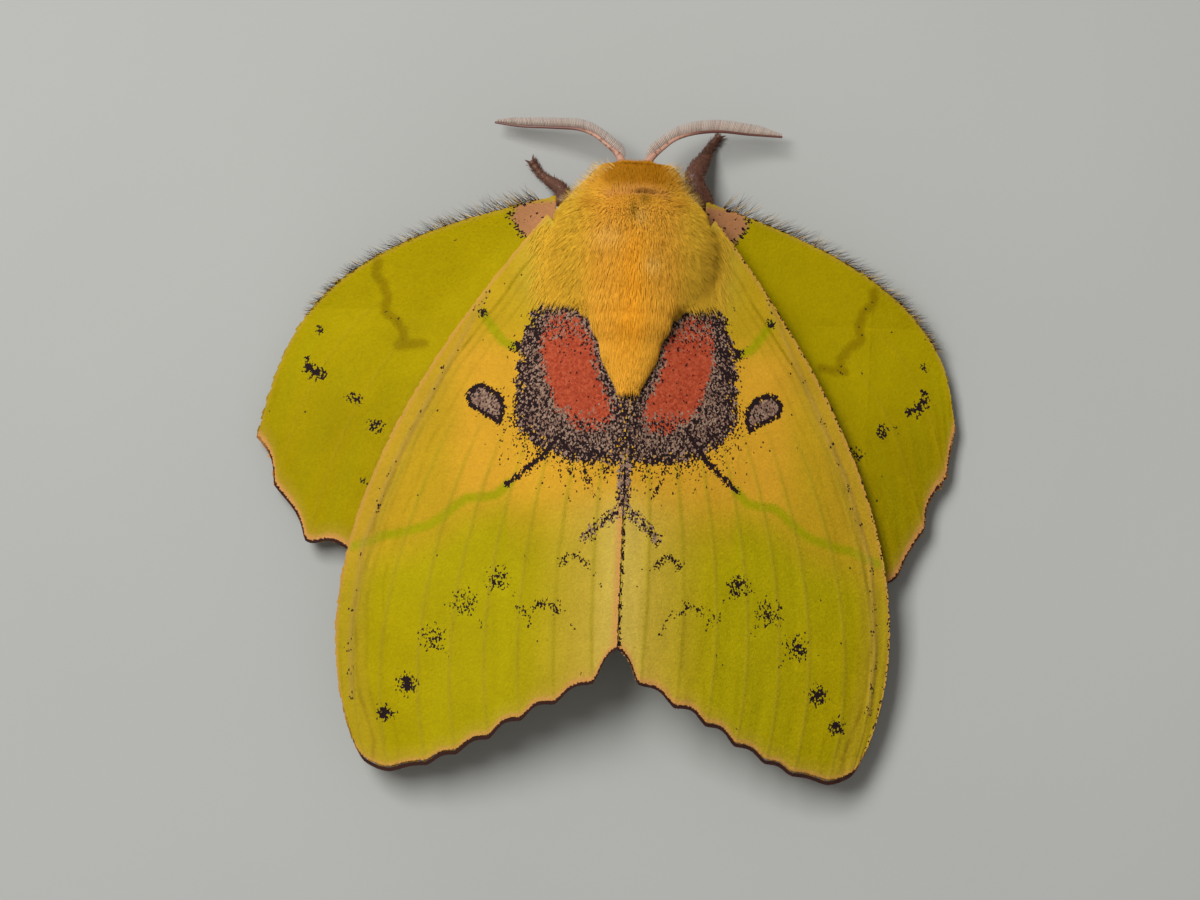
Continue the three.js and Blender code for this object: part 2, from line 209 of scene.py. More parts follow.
def new_finish(name, **values):
    """A material whose shader has these constant values."""
    finish = bpy.data.materials.new(name)
    finish.use_nodes = True
    shader = finish.node_tree.nodes["Principled BSDF"]
    for socket, value in values.items():
        shader.inputs[socket.replace("_", " ")].default_value = value
    return finish


def feed(finish, colour, bump=None):
    """Links a finished colour, and a bump if there is one, to the material's shader."""
    shader = finish.node_tree.nodes["Principled BSDF"]
    finish.node_tree.links.new(colour, shader.inputs["Base Color"])
    if bump is not None:
        finish.node_tree.links.new(bump, shader.inputs["Normal"])


def in_millimetres(finish):
    """Positions on the moth in millimetres, so that a pattern's scale is one over its real size."""
    place = add(finish, "TexCoord").outputs["Object"]
    return add(finish, "VectorMath", {0: place, "Scale": 1 / MM}, operation="SCALE").outputs[0]


def layered(finish, ground, layers):
    """Lays colours over a ground, each as strong as the piece's mark of that name."""
    for mark, colour in layers:
        strength = add(finish, "Attribute", attribute_name=mark).outputs["Fac"]
        ground = add(
            finish, "Mix", {0: strength, 6: ground, 7: paint(colour)}, data_type="RGBA"
        ).outputs[2]
    return ground


def spot(x, y, middle, size):
    """A soft round spot, 1 at its middle and fading by its half sizes across and along."""
    return np.exp(-((x - middle[0]) / size[0]) ** 2 - ((y - middle[1]) / size[1]) ** 2)


def from_line(x, y, line):
    """Distance of each place from a line through several points."""
    nearest = np.full(np.shape(x), 1e9)
    for (ax, ay), (bx, by) in zip(line, line[1:]):
        along = np.clip(
            ((x - ax) * (bx - ax) + (y - ay) * (by - ay)) / ((bx - ax) ** 2 + (by - ay) ** 2), 0, 1
        )
        nearest = np.minimum(nearest, np.hypot(x - ax - along * (bx - ax), y - ay - along * (by - ay)))
    return nearest


def uneven(x, y, size):
    """A smooth uneven pattern from -1 to 1, with patches of about this size in millimetres."""
    a, b = x / size, y / size
    return (np.sin(2.1 * a + 1.3 * np.sin(1.7 * b + 0.4)) + np.sin(2.6 * b + 1.1 * np.sin(2.3 * a + 2.0))
            + np.sin(1.9 * (a + b) + 0.7)) / 3


# Markings of skin and coat alike, in the moth's millimetres. The head's front and the collar's crease also
# carry painted shade.
COLLAR_BAND = [(-1.5, 12.95), (-0.8, 13.15), (-0.1, 13.25), (0.9, 13.2), (1.7, 12.95)]
COLLAR_CREASE = [(-0.6, 13.05), (-0.1, 13.12), (0.5, 13.2), (1.5, 13.03)]
OLIVE_SMUDGES = [((-0.1, 12.0), (0.22, 0.55)), ((0.55, 12.6), (0.3, 0.4))]
OCHRE_SPOTS = [((-2.6, 12.3), (0.5, 0.45)), ((2.5, 12.35), (0.5, 0.45)), ((1.49, 10.14), (0.2, 0.2))]
ORANGE_SPOTS = [((0.0, 9.0), (0.75, 1.9)), ((0.0, 5.6), (0.9, 2.2))]
PALE_SPOTS = [((0.95, 8.9), (0.5, 0.5)), ((-1.5, 10.4), (0.8, 0.6)), ((0.3, 11.6), (0.4, 0.5))]


def body_marks(points):
    """How strong each colour of the coat is at these points."""
    x, y, z = np.moveaxis(points, -1, 0)
    upper = ramp(z, 5.0, 7.0)
    flank = ramp(np.abs(x), 1.0, 2.0) * ramp(y, 7.0, 9.0) * (1 - ramp(y, 12.0, 12.8))
    streaks = flank * ramp(uneven(x + 0.1 * y, 0.2 * y, 0.15), 0.0, 0.8)
    return {
        # The head's front is a darker gold: partly its own colour, partly painted shade where the head
        # slopes away from the light.
        "front": ramp(y, 12.7, 13.8) * (1 - 0.55 * ramp(np.abs(x), 1.2, 2.2))
        * (0.55 + 0.35 * ramp(z, 4.5, 6.5)),
        "yellow": ramp(np.abs(x), 1.6, 3.4) * ramp(y, 3.0, 6.0) * (1 - 0.5 * ramp(y, 12.6, 13.4)),
        "orange": upper * sum(spot(x, y, *place) for place in ORANGE_SPOTS) * 0.9,
        "pale": upper * sum(spot(x, y, *place) for place in PALE_SPOTS) * 0.4,
        "ochre": upper * sum(spot(x, y, *place) for place in OCHRE_SPOTS) * 0.6,
        "collar": upper * np.exp(-(from_line(x, y, COLLAR_BAND) / 0.28) ** 2) * 0.6,
        "olive": upper * (sum(spot(x, y, *place) for place in OLIVE_SMUDGES) * 0.7 + 0.3 * streaks),
        # A thin dark line along the collar's crease: painted shade in the parting of the coat.
        "crease": upper * np.exp(-(from_line(x, y, COLLAR_CREASE) / 0.07) ** 2) * 0.8,
        "under": 1 - ramp(z, 2.2, 4.2),
    }


HAIR_GROUND = "#e2a434"
# The darker gold of the front and the dark line of the crease carry painted shade.
HAIR_LAYERS = [
    ("yellow", "#d8aa30"), ("front", "#a56a04"), ("orange", "#f4aa2a"), ("pale", "#eac068"),
    ("ochre", "#b0741c"), ("collar", "#cc8f48"), ("olive", "#8f6a12"), ("crease", "#59320f"),
    ("under", "#b98f4a"),
]

# Thin insect cuticle, tan and a little waxy: what shows between the hairs looks darker and
# smoother than they do.
cuticle = new_finish("moth_cuticle", Roughness=0.55, IOR=1.55)
place = in_millimetres(cuticle)
grain = add(cuticle, "TexNoise", {"Vector": place, "Scale": 1 / 0.25, "Detail": 3.0}).outputs["Fac"]
ground = add(
    cuticle, "Mix", {0: grain, 6: paint("#a8701c"), 7: paint("#c98a2a")}, data_type="RGBA"
).outputs[2]
ground = layered(cuticle, ground, HAIR_LAYERS)
relief = add(cuticle, "Bump", {"Strength": 0.5, "Distance": 0.02 * MM, "Height": grain}).outputs[0]
feed(cuticle, add(cuticle, "HueSaturation", {"Value": 0.8, "Color": ground}).outputs[0], relief)

shells = []
for sections, depth, groove, rows, around in (
    (BODY_SECTIONS, COAT_DEPTH, RING_GROOVE, 240, 96), (LOBE_SECTIONS, LOBE_COAT_DEPTH, 0.0, 70, 60),
):
    surface = body_surface(sections, depth, groove)
    u, v = np.meshgrid(np.linspace(0, 1, rows), np.arange(around) / around, indexing="ij")
    rings = surface(u, v)
    ends = np.stack([rings[0].mean(0), rings[-1].mean(0)])
    corners = np.concatenate([rings.reshape(-1, 3), ends])
    mesh = bpy.data.meshes.new("shell")
    sides = [side.tolist() for group in tube((rows, around)) for side in group]
    mesh.from_pydata(corners.tolist(), [], sides)
    shells.append(bpy.data.objects.new("shell", mesh))
    bpy.context.scene.collection.objects.link(shells[-1])

# The two closed shells melt into one skin.
union = shells[0].modifiers.new("join", "BOOLEAN")
union.operation = "UNION"
union.object = shells[1]
remesh = shells[0].modifiers.new("one skin", "REMESH")
remesh.mode = "VOXEL"
remesh.voxel_size = SKIN_GRAIN
melted = shells[0].evaluated_get(bpy.context.evaluated_depsgraph_get()).to_mesh()
corners = np.empty(len(melted.vertices) * 3, np.float32)
melted.vertices.foreach_get("co", corners)
corners = corners.reshape(-1, 3).astype(float)
loops = np.empty(len(melted.loops), np.int32)
melted.loops.foreach_get("vertex_index", loops)
widths = np.empty(len(melted.polygons), np.int32)
melted.polygons.foreach_get("loop_total", widths)
starts = np.cumsum(widths) - widths
faces = [
    loops[starts[widths == width][:, None] + np.arange(width)]
    for width in (3, 4) if (widths == width).any()
]
skin = piece("body_skin", corners, faces, cuticle, body_marks(corners))
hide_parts("head", "thorax", "abdomen")
for shell in shells:
    bpy.data.objects.remove(shell)

# ==== The coat ======================================================================
# Fine golden hair-scales in dense tufts, rooted in the skin. They stand forward on the
# head, part at the collar and sweep back over the thorax to the long tuft on the
# wings. Some of the stiff hairs on the cheeks have dark tips.
rng = np.random.default_rng(7)
TUFT_FACES = np.array([
    (0, 1, 4), (0, 4, 3), (1, 2, 5), (1, 5, 4), (2, 0, 3), (2, 3, 5), (3, 4, 6), (4, 5, 6), (5, 3, 6),
])
TUFT_ROUNDNESS = 0.25  # how much a tuft's own shape tells in its shading
STRAND_SCATTER = 2.7  # how far the coat's shading leans to the light from above
ROOT_DEPTH = 0.08  # a tuft starts this far under the skin
PARTING_Y, PARTING_ENDS = 13.05, (-1.25, 1.55)  # the coat parts along the crease behind the head
BAKE_PATCH = 0.003  # size of one tuft's place on the map of the skin
STEPS_ACROSS = 500  # measured steps along one row of a surface


def places_on(surface, rows, spacing, limits=(0, 1)):
    """Staggered, slightly uneven places (u, v) in rows across a surface, one to each square of
    the spacing."""
    fine = np.linspace(*limits, STEPS_ACROSS)
    us, vs = [], []
    for row in range(rows):
        here = surface(np.full(STEPS_ACROSS, row / rows), fine)
        onward = surface(np.full(STEPS_ACROSS, (row + 1) / rows), fine)
        across = np.linalg.norm(np.diff(here, axis=0), axis=1)
        along = np.linalg.norm(onward - here, axis=1)
        cells = np.concatenate([[0], np.cumsum(across * (along[1:] + along[:-1]) / 2)]) / spacing**2
        counted = np.arange(rng.random(), cells[-1])
        counted = counted + rng.uniform(-0.35, 0.35, len(counted))
        vs.append(np.interp(counted, cells, fine))
        us.append((row + rng.random(len(counted))) / rows)
    return np.concatenate(us), np.concatenate(vs)


def frame_on(surface, u, v, step=0.002):
    """Points of a surface with the directions along u and v there and outward."""
    points = surface(u, v)
    along = unit(surface(np.minimum(u + step, 1), v) - surface(np.maximum(u - step, 0), v))
    across = unit(surface(u, v + step) - surface(u, v - step))
    return points, along, across, unit(np.cross(along, across))


def tufts(roots, outward, lie, length, rise, width):
    """Solid tufts with three sides. Each leaves the skin, bends over and lies along the coat. Gives
    the corners, seven to a tuft, the faces, and normals that follow the skin more than the tuft."""
    length, rise, width = (np.broadcast_to(value, len(roots))[:, None] for value in (length, rise, width))
    side = np.cross(outward, lie)
    knee = roots + lie * length * 0.45 + outward * rise * 0.8
    tip = roots + lie * length + outward * rise
    # Strands scatter the light that falls across them, so a coat looks much the same on either flank.
    lit = unit(outward + np.array([0, 0, STRAND_SCATTER]) * ramp(outward[:, 2:], -0.3, 0.3))
    corners, normals = np.empty((2, len(roots), 7, 3))
    for turn in range(3):
        angle = 2 * np.pi * turn / 3
        offset = side * math.cos(angle) + outward * math.sin(angle)
        corners[:, turn] = roots - outward * ROOT_DEPTH + offset * width / 2
        corners[:, 3 + turn] = knee + offset * width * 0.4
        normals[:, turn] = normals[:, 3 + turn] = unit(lit + offset * TUFT_ROUNDNESS)
    corners[:, 6], normals[:, 6] = tip, lit
    faces = TUFT_FACES + 7 * np.arange(len(roots))[:, None, None]
    return corners.reshape(-1, 3), faces.reshape(-1, 3), normals.reshape(-1, 3)


def tuft_bake(u, v):
    """Each tuft's small patch on the map, at its root's place."""
    patch = np.array([(0, 0), (1, 0), (2, 0), (0, 1), (1, 1), (2, 1), (1, 2)]) / 2 * BAKE_PATCH
    middles = np.stack([0.01 + 0.97 * v, 0.01 + 0.97 * u], -1)
    return (middles[:, None] + patch).reshape(-1, 2)


def tuft_marks(marks, roots_to_tips=(0, 0, 0, 0.55, 0.55, 0.55, 1)):
    """Marks of each tuft on all its corners, with how far along the hair each corner is."""
    count = len(next(iter(marks.values())))
    spread = {mark: np.repeat(values, 7) for mark, values in marks.items()}
    spread["tip"] = np.tile(roots_to_tips, count)
    spread["shade"] = np.repeat(rng.random(count), 7)
    return spread


def from_parting(points):
    """The way from the nearest place of the parting, and how far that is."""
    x, y = points[:, 0], points[:, 1]
    away = np.stack([x - np.clip(x, *PARTING_ENDS), y - PARTING_Y, 0 * x], -1)
    reach = np.linalg.norm(away, axis=-1)
    return away / (reach + 0.02)[:, None], reach


def coat_lie(points, outward):
    """The lie of the coat: away from the parting, then back, and at the shoulders out over the wings."""
    x, y, z = np.moveaxis(points, -1, 0)
    away, reach = from_parting(points)
    back = ramp(PARTING_Y - y, 1.0, 5.5)[:, None]
    flow = away * (1 - back) + np.stack([0.12 * x, -1 + 0 * x, 0 * x], -1) * back
    flow[:, 2] -= 0.25 * (1 - ramp(z, 3.0, 7.5)) + 0.25 * ramp(y, 13.0, 14.5)
    flow = flow + rng.normal(0, 0.06, flow.shape)
    flow[:, 0] += 0.13 * uneven(x, y, 0.5) + 0.08 * uneven(y, x, 0.2)
    flow = unit(flow - outward * (flow * outward).sum(-1, keepdims=True))
    shoulder = ramp(np.abs(x), 2.2, 3.5) * ramp(z, 6.0, 6.8)
    shoulder = (shoulder * (1 - ramp(y, 12.0, 12.9)) * ramp(y, 6.4, 7.6))[:, None]
    over = np.stack([0.75 * np.sign(x), -0.75 + 0 * x, -0.28 + 0 * x], -1)
    over = unit(over + rng.normal(0, 0.12, flow.shape))
    return unit(flow * (1 - shoulder) + over * shoulder)


# Hair of a soft, matt, slightly silky gold. Each tuft has its own tone, and roots are darker and tips
# paler: painted shade deep in the coat, so that it looks deep.
hair = new_finish("golden_hair_scales", Roughness=0.7, Specular_IOR_Level=0.06)
gold = layered(hair, paint(HAIR_GROUND), HAIR_LAYERS)
tip = add(hair, "Attribute", attribute_name="tip").outputs["Fac"]
shade = add(hair, "Attribute", attribute_name="shade").outputs["Fac"]
tone = add(hair, "MapRange", {"Value": shade, "To Min": 0.93, "To Max": 1.09}).outputs[0]
# Darker roots, paler tips: painted shade.
depth = add(hair, "MapRange", {"Value": tip, "To Min": 0.95, "To Max": 1.05}).outputs[0]
value = add(hair, "Math", {0: tone, 1: depth}, operation="MULTIPLY").outputs[0]
dark_tip = add(hair, "Attribute", attribute_name="dark_tip").outputs["Fac"]
tipped = add(hair, "Math", {0: tip, 1: dark_tip}, operation="MULTIPLY").outputs[0]
gold = add(hair, "HueSaturation", {"Value": value, "Color": gold}).outputs[0]
gold = add(hair, "Mix", {0: tipped, 6: gold, 7: paint("#2a1a10")}, data_type="RGBA").outputs[2]
feed(hair, gold)


def hair_piece(
    name, surface, rows, spacing, keep, length, rise, width,
    limits=(0, 1), lie_of=coat_lie, pale=0.0, strip=1.0,
):
    """A coat piece over part of a surface. keep, length and rise are functions of the roots, and
    strip is the share of the map's height that the surface takes."""
    u, v = places_on(surface, rows, spacing, limits)
    roots, along, across, outward = frame_on(surface, u, v)
    kept = keep(roots)
    u, v, roots, outward = u[kept], v[kept], roots[kept], outward[kept]
    lie = lie_of(roots, outward)
    lengths = length(roots) * rng.uniform(0.8, 1.15, len(roots))
    rises = rise(roots) * rng.uniform(0.8, 1.05, len(roots))
    widths = width * rng.uniform(0.7, 1.3, len(roots))
    corners, faces, normals = tufts(roots, outward, lie, lengths, rises, widths)
    marks = body_marks(roots + lie * lengths[:, None] * 0.6)
    marks["pale"] = np.maximum(marks["pale"], pale)
    marks["dark_tip"] = (rng.random(len(roots)) < pale * 0.4).astype(float)
    made = piece(name, corners, faces, hair, tuft_marks(marks), tuft_bake(u * strip, v), normals)


def face_surface(u, v):
    """The head's front end, from its middle to its rim."""
    rim = body(0 * u, v)
    middle = body(np.zeros(32), np.arange(32) / 32).mean(0)
    return middle + (rim - middle) * np.asarray(u)[..., None]


body = body_surface(BODY_SECTIONS, COAT_DEPTH, RING_GROOVE)
lobe = body_surface(LOBE_SECTIONS, LOBE_COAT_DEPTH)


def hair_length(roots):
    """Shortest on the face and longer down the thorax."""
    x, y = np.abs(roots[:, 0]), roots[:, 1]
    _, reach = from_parting(roots)
    long = 0.4 + 0.3 * (1 - ramp(y, 11.0, 12.6)) + 0.2 * (1 - ramp(y, 6.5, 9.0))
    long = long + 0.65 * ramp(x, 2.6, 3.7) * (1 - ramp(y, 11.8, 13.0))
    long = long * (1 - 0.65 * ramp(x, 1.6, 2.4) * (1 - ramp(y, 6.6, 7.6)))
    front = ramp(y, 13.8, 14.7) * (0.12 - 0.36 * ramp(x, 0.6, 1.5))
    return long * (0.45 + 0.55 * ramp(reach, 0.1, 0.8)) + front


def hair_rise(roots):
    """How far the coat stands off the skin."""
    return 0.42 - 0.12 * ramp(roots[:, 1], 13.3, 14.6)


def bristle_lie(roots, outward):
    """The stiff hairs on the cheeks stand out sideways and forwards."""
    x = roots[:, 0]
    flow = np.stack([np.sign(x) * 0.8, 0.5 + 0 * x, 0.1 + 0 * x], -1)
    return unit(flow + rng.normal(0, 0.25, flow.shape))


def face_lie(roots, outward):
    """The hair of the face spreads from its middle to the rim."""
    flow = unit(roots - roots.mean(0)) + rng.normal(0, 0.2, roots.shape)
    return unit(flow - outward * (flow * outward).sum(-1, keepdims=True))


def face_rise(roots):
    """The face's hair stands out most in its middle."""
    return 0.55 - 0.25 * ramp(np.linalg.norm(roots - roots.mean(0), axis=-1), 0.3, 1.4)


def lobe_lie(roots, outward):
    """The hair of the tuft over the wings converges to its tip."""
    x, y = roots[:, 0], roots[:, 1]
    flow = np.stack([-0.16 * x * ramp(-y, -6.0, -3.0), -0.95 + 0 * x, -0.1 + 0 * x], -1)
    flow = flow + rng.normal(0, 0.06, flow.shape)
    return unit(flow - outward * (flow * outward).sum(-1, keepdims=True))


def thinning(roots, low, high):
    """Thins the coat out over the middle of the back, where the tuft takes over."""
    return rng.random(len(roots)) < ramp(roots[:, 1], low, high) + ramp(np.abs(roots[:, 0]), 1.8, 2.6)


def between(low, high):
    """Keeps the roots of the back's coat between these places along the body."""
    return lambda roots: (roots[:, 1] > low) & (roots[:, 1] <= high) & (roots[:, 2] > 4.8)


UPPER_SIDE = (0.2, 0.8)  # the part of a section's round that the fine coat covers
FINE_ROWS = 260
hair_piece("coat_head", body, FINE_ROWS, 0.056, between(12.2, 16.0),
           hair_length, hair_rise, 0.05, UPPER_SIDE)
hair_piece("coat_face", face_surface, 30, 0.056, lambda roots: roots[:, 1] > 0,
           lambda roots: 0.45 - 0.3 * ramp(np.abs(roots[:, 0]), 0.5, 1.3), face_rise, 0.05,
           lie_of=face_lie, strip=0.008)
hair_piece("coat_collar", body, FINE_ROWS, 0.06, between(9.2, 12.2),
           hair_length, hair_rise, 0.045, UPPER_SIDE)
hair_piece("coat_back", body, FINE_ROWS, 0.06,
           lambda roots: between(5.4, 9.2)(roots) & thinning(roots, 6.0, 8.0),
           hair_length, hair_rise, 0.045, UPPER_SIDE)
hair_piece("coat_cheeks", body, 70, 0.12,
           lambda roots: (roots[:, 1] > 12.3) & (np.abs(roots[:, 2] - 5.2) < 1.4),
           lambda roots: 0.7, lambda roots: 0.25, 0.026, lie_of=bristle_lie, pale=0.9)
hair_piece("coat_breast", body, 120, 0.14, lambda roots: (roots[:, 1] > 4.4) & (roots[:, 2] <= 4.8),
           hair_length, hair_rise, 0.11)
hair_piece("coat_abdomen", body, 150, 0.18, lambda roots: roots[:, 1] <= 4.4,
           lambda roots: 1.1 + 0.5 * (1 - ramp(roots[:, 1], -11.0, -9.0)), lambda roots: 0.3, 0.13)
hair_piece("coat_tuft", lobe, 120, 0.056,
           lambda roots: rng.random(len(roots)) < 1 - ramp(roots[:, 1], 6.8, 8.1),
           lambda roots: 1.0 - 0.5 * (1 - ramp(roots[:, 1], 1.8, 4.0)),
           lambda roots: 0.25 + 0.17 * ramp(roots[:, 1], 4.5, 6.5), 0.045, lie_of=lobe_lie)

# ==== The eyes ======================================================================
# Two round compound eyes of clear dark cuticle, sunk in the hair at the sides of the
# head. Their facets are too fine to see, so they are drawn about twice as coarse.
FACET = 0.06
EYE_RINGS, EYE_STEPS = 40, 64
eye_finish = new_finish(
    "compound_eye_cuticle", Roughness=0.18, IOR=1.55, Coat_Weight=0.5, Coat_Roughness=0.08
)
place = in_millimetres(eye_finish)
facets = add(eye_finish, "TexVoronoi", {"Vector": place, "Scale": 1 / FACET}, feature="DISTANCE_TO_EDGE")
mottle = add(eye_finish, "TexNoise", {"Vector": place, "Scale": 1 / 0.5, "Detail": 2.0}).outputs["Fac"]
brown = add(
    eye_finish, "Mix", {0: mottle, 6: paint("#0d0806"), 7: paint("#3a2414")}, data_type="RGBA"
).outputs[2]
dome = add(eye_finish, "MapRange", {"Value": facets.outputs["Distance"], "From Max": 0.35}).outputs[0]
relief = add(eye_finish, "Bump", {"Strength": 0.7, "Distance": 0.012 * MM, "Height": dome}).outputs[0]
feed(eye_finish, brown, relief)
for side in ("left", "right"):
    low, high = (np.array(corner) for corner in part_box(f"eye_{side}"))
    middle, radius = (low + high) / 2, (high - low) / 2
    turn, tilt = np.meshgrid(
        np.arange(EYE_STEPS) / EYE_STEPS * 2 * np.pi, np.linspace(0.02, np.pi - 0.02, EYE_RINGS)
    )
    ball = np.stack([np.sin(tilt) * np.cos(turn), np.sin(tilt) * np.sin(turn), np.cos(tilt)], -1)
    ball = ball * (1 - 0.04 * np.abs(ball[..., :1]) ** 3)
    corners = ((middle + ball * radius - SHIFT) / MM).reshape(-1, 3)
    poles = (np.array([middle + (0, 0, radius[2]), middle - (0, 0, radius[2])]) - SHIFT) / MM
    ball_faces = tube((EYE_RINGS, EYE_STEPS))
    eye = piece(f"eyeball_{side}", np.concatenate([corners, poles]), ball_faces, eye_finish)
    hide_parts(f"eye_{side}")

# ==== Palps, legs and feelers =======================================================
# Jointed tubes of brown cuticle. Palps and legs are clothed in rough brown hair, and a
# leg ends in two claws. Each feeler is a tan shaft with two rows of fine pale teeth.

# Centre lines with half width and half height over the hair, as x, y, z, across, up.
PALP = [(0.7, 13.7, 1.6, 0.4, 0.4), (0.75, 14.3, 1.8, 0.48, 0.48), (0.7, 14.65, 2.25, 0.4, 0.4),
        (0.65, 14.8, 2.7, 0.28, 0.28)]
FORELEGS = {
    "left": [(-2.4, 12.2, 1.4, 0.6, 0.5), (-3.8, 12.7, 1.8, 0.6, 0.6), (-3.9, 13.4, 1.5, 0.5, 0.55),
             (-4.65, 14.0, 0.7, 0.4, 0.5), (-5.25, 14.5, 0.28, 0.4, 0.42), (-5.75, 15.2, 0.2, 0.42, 0.35)],
    "right": [(2.5, 11.9, 1.3, 0.65, 0.5), (4.45, 12.5, 2.1, 0.75, 0.65), (3.8, 14.2, 2.3, 0.75, 0.65),
              (4.35, 15.5, 1.2, 0.58, 0.55), (4.9, 16.4, 0.36, 0.45, 0.42), (5.4, 17.1, 0.2, 0.42, 0.35)],
}
MIDLEG = [(2.3, 9.4, 1.3, 0.6, 0.45), (4.6, 9.2, 1.9, 0.55, 0.5), (6.3, 8.4, 1.7, 0.5, 0.5),
          (7.6, 7.2, 0.7, 0.4, 0.45), (8.6, 6.2, 0.25, 0.38, 0.38), (9.3, 5.5, 0.2, 0.38, 0.32)]
HINDLEG = [(2.2, 6.6, 1.4, 0.6, 0.45), (4.6, 4.6, 1.9, 0.55, 0.5), (6.0, 2.0, 1.7, 0.5, 0.5),
           (6.6, -1.2, 0.7, 0.4, 0.45), (6.9, -3.4, 0.25, 0.38, 0.38), (7.1, -4.8, 0.2, 0.38, 0.32)]
FEELERS = {
    "left": [(-0.5, 14.6, 4.7, 0.42, 0.36), (-0.85, 15.6, 3.9, 0.36, 0.3), (-1.75, 16.6, 3.2, 0.34, 0.27),
             (-2.95, 17.2, 2.6, 0.36, 0.26), (-4.7, 17.3, 1.9, 0.34, 0.26), (-6.5, 17.3, 1.4, 0.3, 0.25),
             (-8.0, 17.4, 1.1, 0.22, 0.22)],
    "right": [(0.6, 14.6, 4.7, 0.42, 0.36), (1.25, 15.6, 3.9, 0.36, 0.3), (2.15, 16.6, 3.4, 0.36, 0.27),
              (3.4, 17.2, 3.0, 0.4, 0.26), (5.1, 17.45, 2.6, 0.4, 0.26), (7.05, 17.35, 2.0, 0.36, 0.25),
              (9.0, 17.2, 1.6, 0.25, 0.25)],
}
LEG_SKIN_SHARE = 0.76  # of the width over the hair
FLOOR_GAP = 0.02
CLAW_LENGTH, CLAW_WIDTH, CLAWS_APART = 0.32, 0.16, 0.28
UPWARD = (0.0, 0.0, 1.0)
JOINTS_ALONG_LEG = (0.2, 0.4, 0.6, 0.68, 0.76, 0.84, 0.92)  # femur, tibia and five foot joints


def smooth_line(points, at):
    """Values along a smooth curve through the points, at shares of its length from 0 to 1."""
    points = np.asarray(points, float)
    place = np.clip(np.asarray(at), 0, 1) * (len(points) - 1)
    index = np.minimum(place.astype(int), len(points) - 2)
    part = (place - index)[..., None]
    before, start = points[np.maximum(index - 1, 0)], points[index]
    end, after = points[index + 1], points[np.minimum(index + 2, len(points) - 1)]
    return 0.5 * (
        2 * start + (end - before) * part + (2 * before - 5 * start + 4 * end - after) * part**2
        + (3 * start - before - 3 * end + after) * part**3
    )


def limb_surface(points, width_of=lambda u: 1 + 0 * u):
    """surface(u, v) of a limb: u along it and v round it, clear of the floor."""

    def surface(u, v):
        line = smooth_line(points, u)
        ahead = smooth_line(points, np.minimum(np.asarray(u) + 0.01, 1))[:, :3]
        behind = smooth_line(points, np.maximum(np.asarray(u) - 0.01, 0))[:, :3]
        along = unit(ahead - behind)
        across = unit(np.cross(along, (0, 0, 1)))
        over = np.cross(across, along)
        angle = 2 * np.pi * np.asarray(v)[:, None]
        width = width_of(np.asarray(u))[:, None]
        offset = across * line[:, 3:4] * np.cos(angle) + over * line[:, 4:5] * np.sin(angle)
        made = line[:, :3] + width * offset
        made[:, 2] = np.maximum(made[:, 2], FLOOR_GAP)
        return made

    return surface


def limb_mesh(surface, rows, around):
    """Corners and faces of a closed limb."""
    u, v = np.meshgrid(np.linspace(0, 1, rows), np.arange(around) / around, indexing="ij")
    rings = surface(u.ravel(), v.ravel()).reshape(rows, around, 3)
    ends = np.stack([rings[0].mean(0), rings[-1].mean(0)])
    return np.concatenate([rings.reshape(-1, 3), ends]), tube((rows, around))


def leg_width(u):
    """A leg narrows at each joint."""
    joints = sum(np.exp(-((u - joint) / 0.012) ** 2) for joint in JOINTS_ALONG_LEG)
    return LEG_SKIN_SHARE * (1 - 0.25 * np.minimum(joints, 1)) * (1 - 0.25 * ramp(u, 0.55, 0.7))


# Brown cuticle, faintly glossy, with fine cross wrinkles.
leg_cuticle = new_finish("brown_leg_cuticle", Roughness=0.5, IOR=1.5)
place = in_millimetres(leg_cuticle)
wrinkles = add(leg_cuticle, "TexNoise", {"Vector": place, "Scale": 1 / 0.15, "Detail": 3.0}).outputs["Fac"]
brown = add(
    leg_cuticle, "Mix", {0: wrinkles, 6: paint("#45271a"), 7: paint("#6e4432")}, data_type="RGBA"
).outputs[2]
relief = add(leg_cuticle, "Bump", {"Strength": 0.5, "Distance": 0.02 * MM, "Height": wrinkles}).outputs[0]
feed(leg_cuticle, brown, relief)

# Coarse brown leg hair, some strands reddish and some pale.
leg_hair = new_finish("brown_leg_hair", Roughness=0.55, Specular_IOR_Level=0.2)
shade = add(leg_hair, "Attribute", attribute_name="shade").outputs["Fac"]
tip = add(leg_hair, "Attribute", attribute_name="tip").outputs["Fac"]
ramp_node = add(leg_hair, "ValToRGB", {"Fac": shade})
for stop, (position, colour) in enumerate(((0.0, "#46281c"), (0.6, "#60392a"), (1.0, "#80573d"))):
    if stop == 2:
        ramp_node.color_ramp.elements.new(position)
    ramp_node.color_ramp.elements[stop].position = position
    ramp_node.color_ramp.elements[stop].color = paint(colour)
# Each strand is darker at its root and paler at its tip: painted shade deep in the hair.
value = add(leg_hair, "MapRange", {"Value": tip, "To Min": 0.75, "To Max": 1.15}).outputs[0]
feed(leg_hair, add(leg_hair, "HueSaturation", {"Value": value, "Color": ramp_node.outputs[0]}).outputs[0])


def clothe(name, surface, rows, spacing, length, rise, width, finish, reach=(0, 1)):
    """Hair over a limb, lying towards its end."""
    u, v = places_on(surface, rows, spacing)
    kept = (u >= reach[0]) & (u <= reach[1])
    u, v = u[kept], v[kept]
    roots, along, across, outward = frame_on(surface, u, v, 0.01)
    lie = unit(along + rng.normal(0, 0.22, along.shape))
    lengths = length * rng.uniform(0.6, 1.3, len(u))
    rises = rise * rng.uniform(0.4, 1.3, len(u))
    corners, faces, normals = tufts(roots, outward, lie, lengths, rises, width)
    corners[:, 2] = np.maximum(corners[:, 2], FLOOR_GAP)
    made = piece(name, corners, faces, finish, tuft_marks({"under": 0 * u}), tuft_bake(u, v), normals)


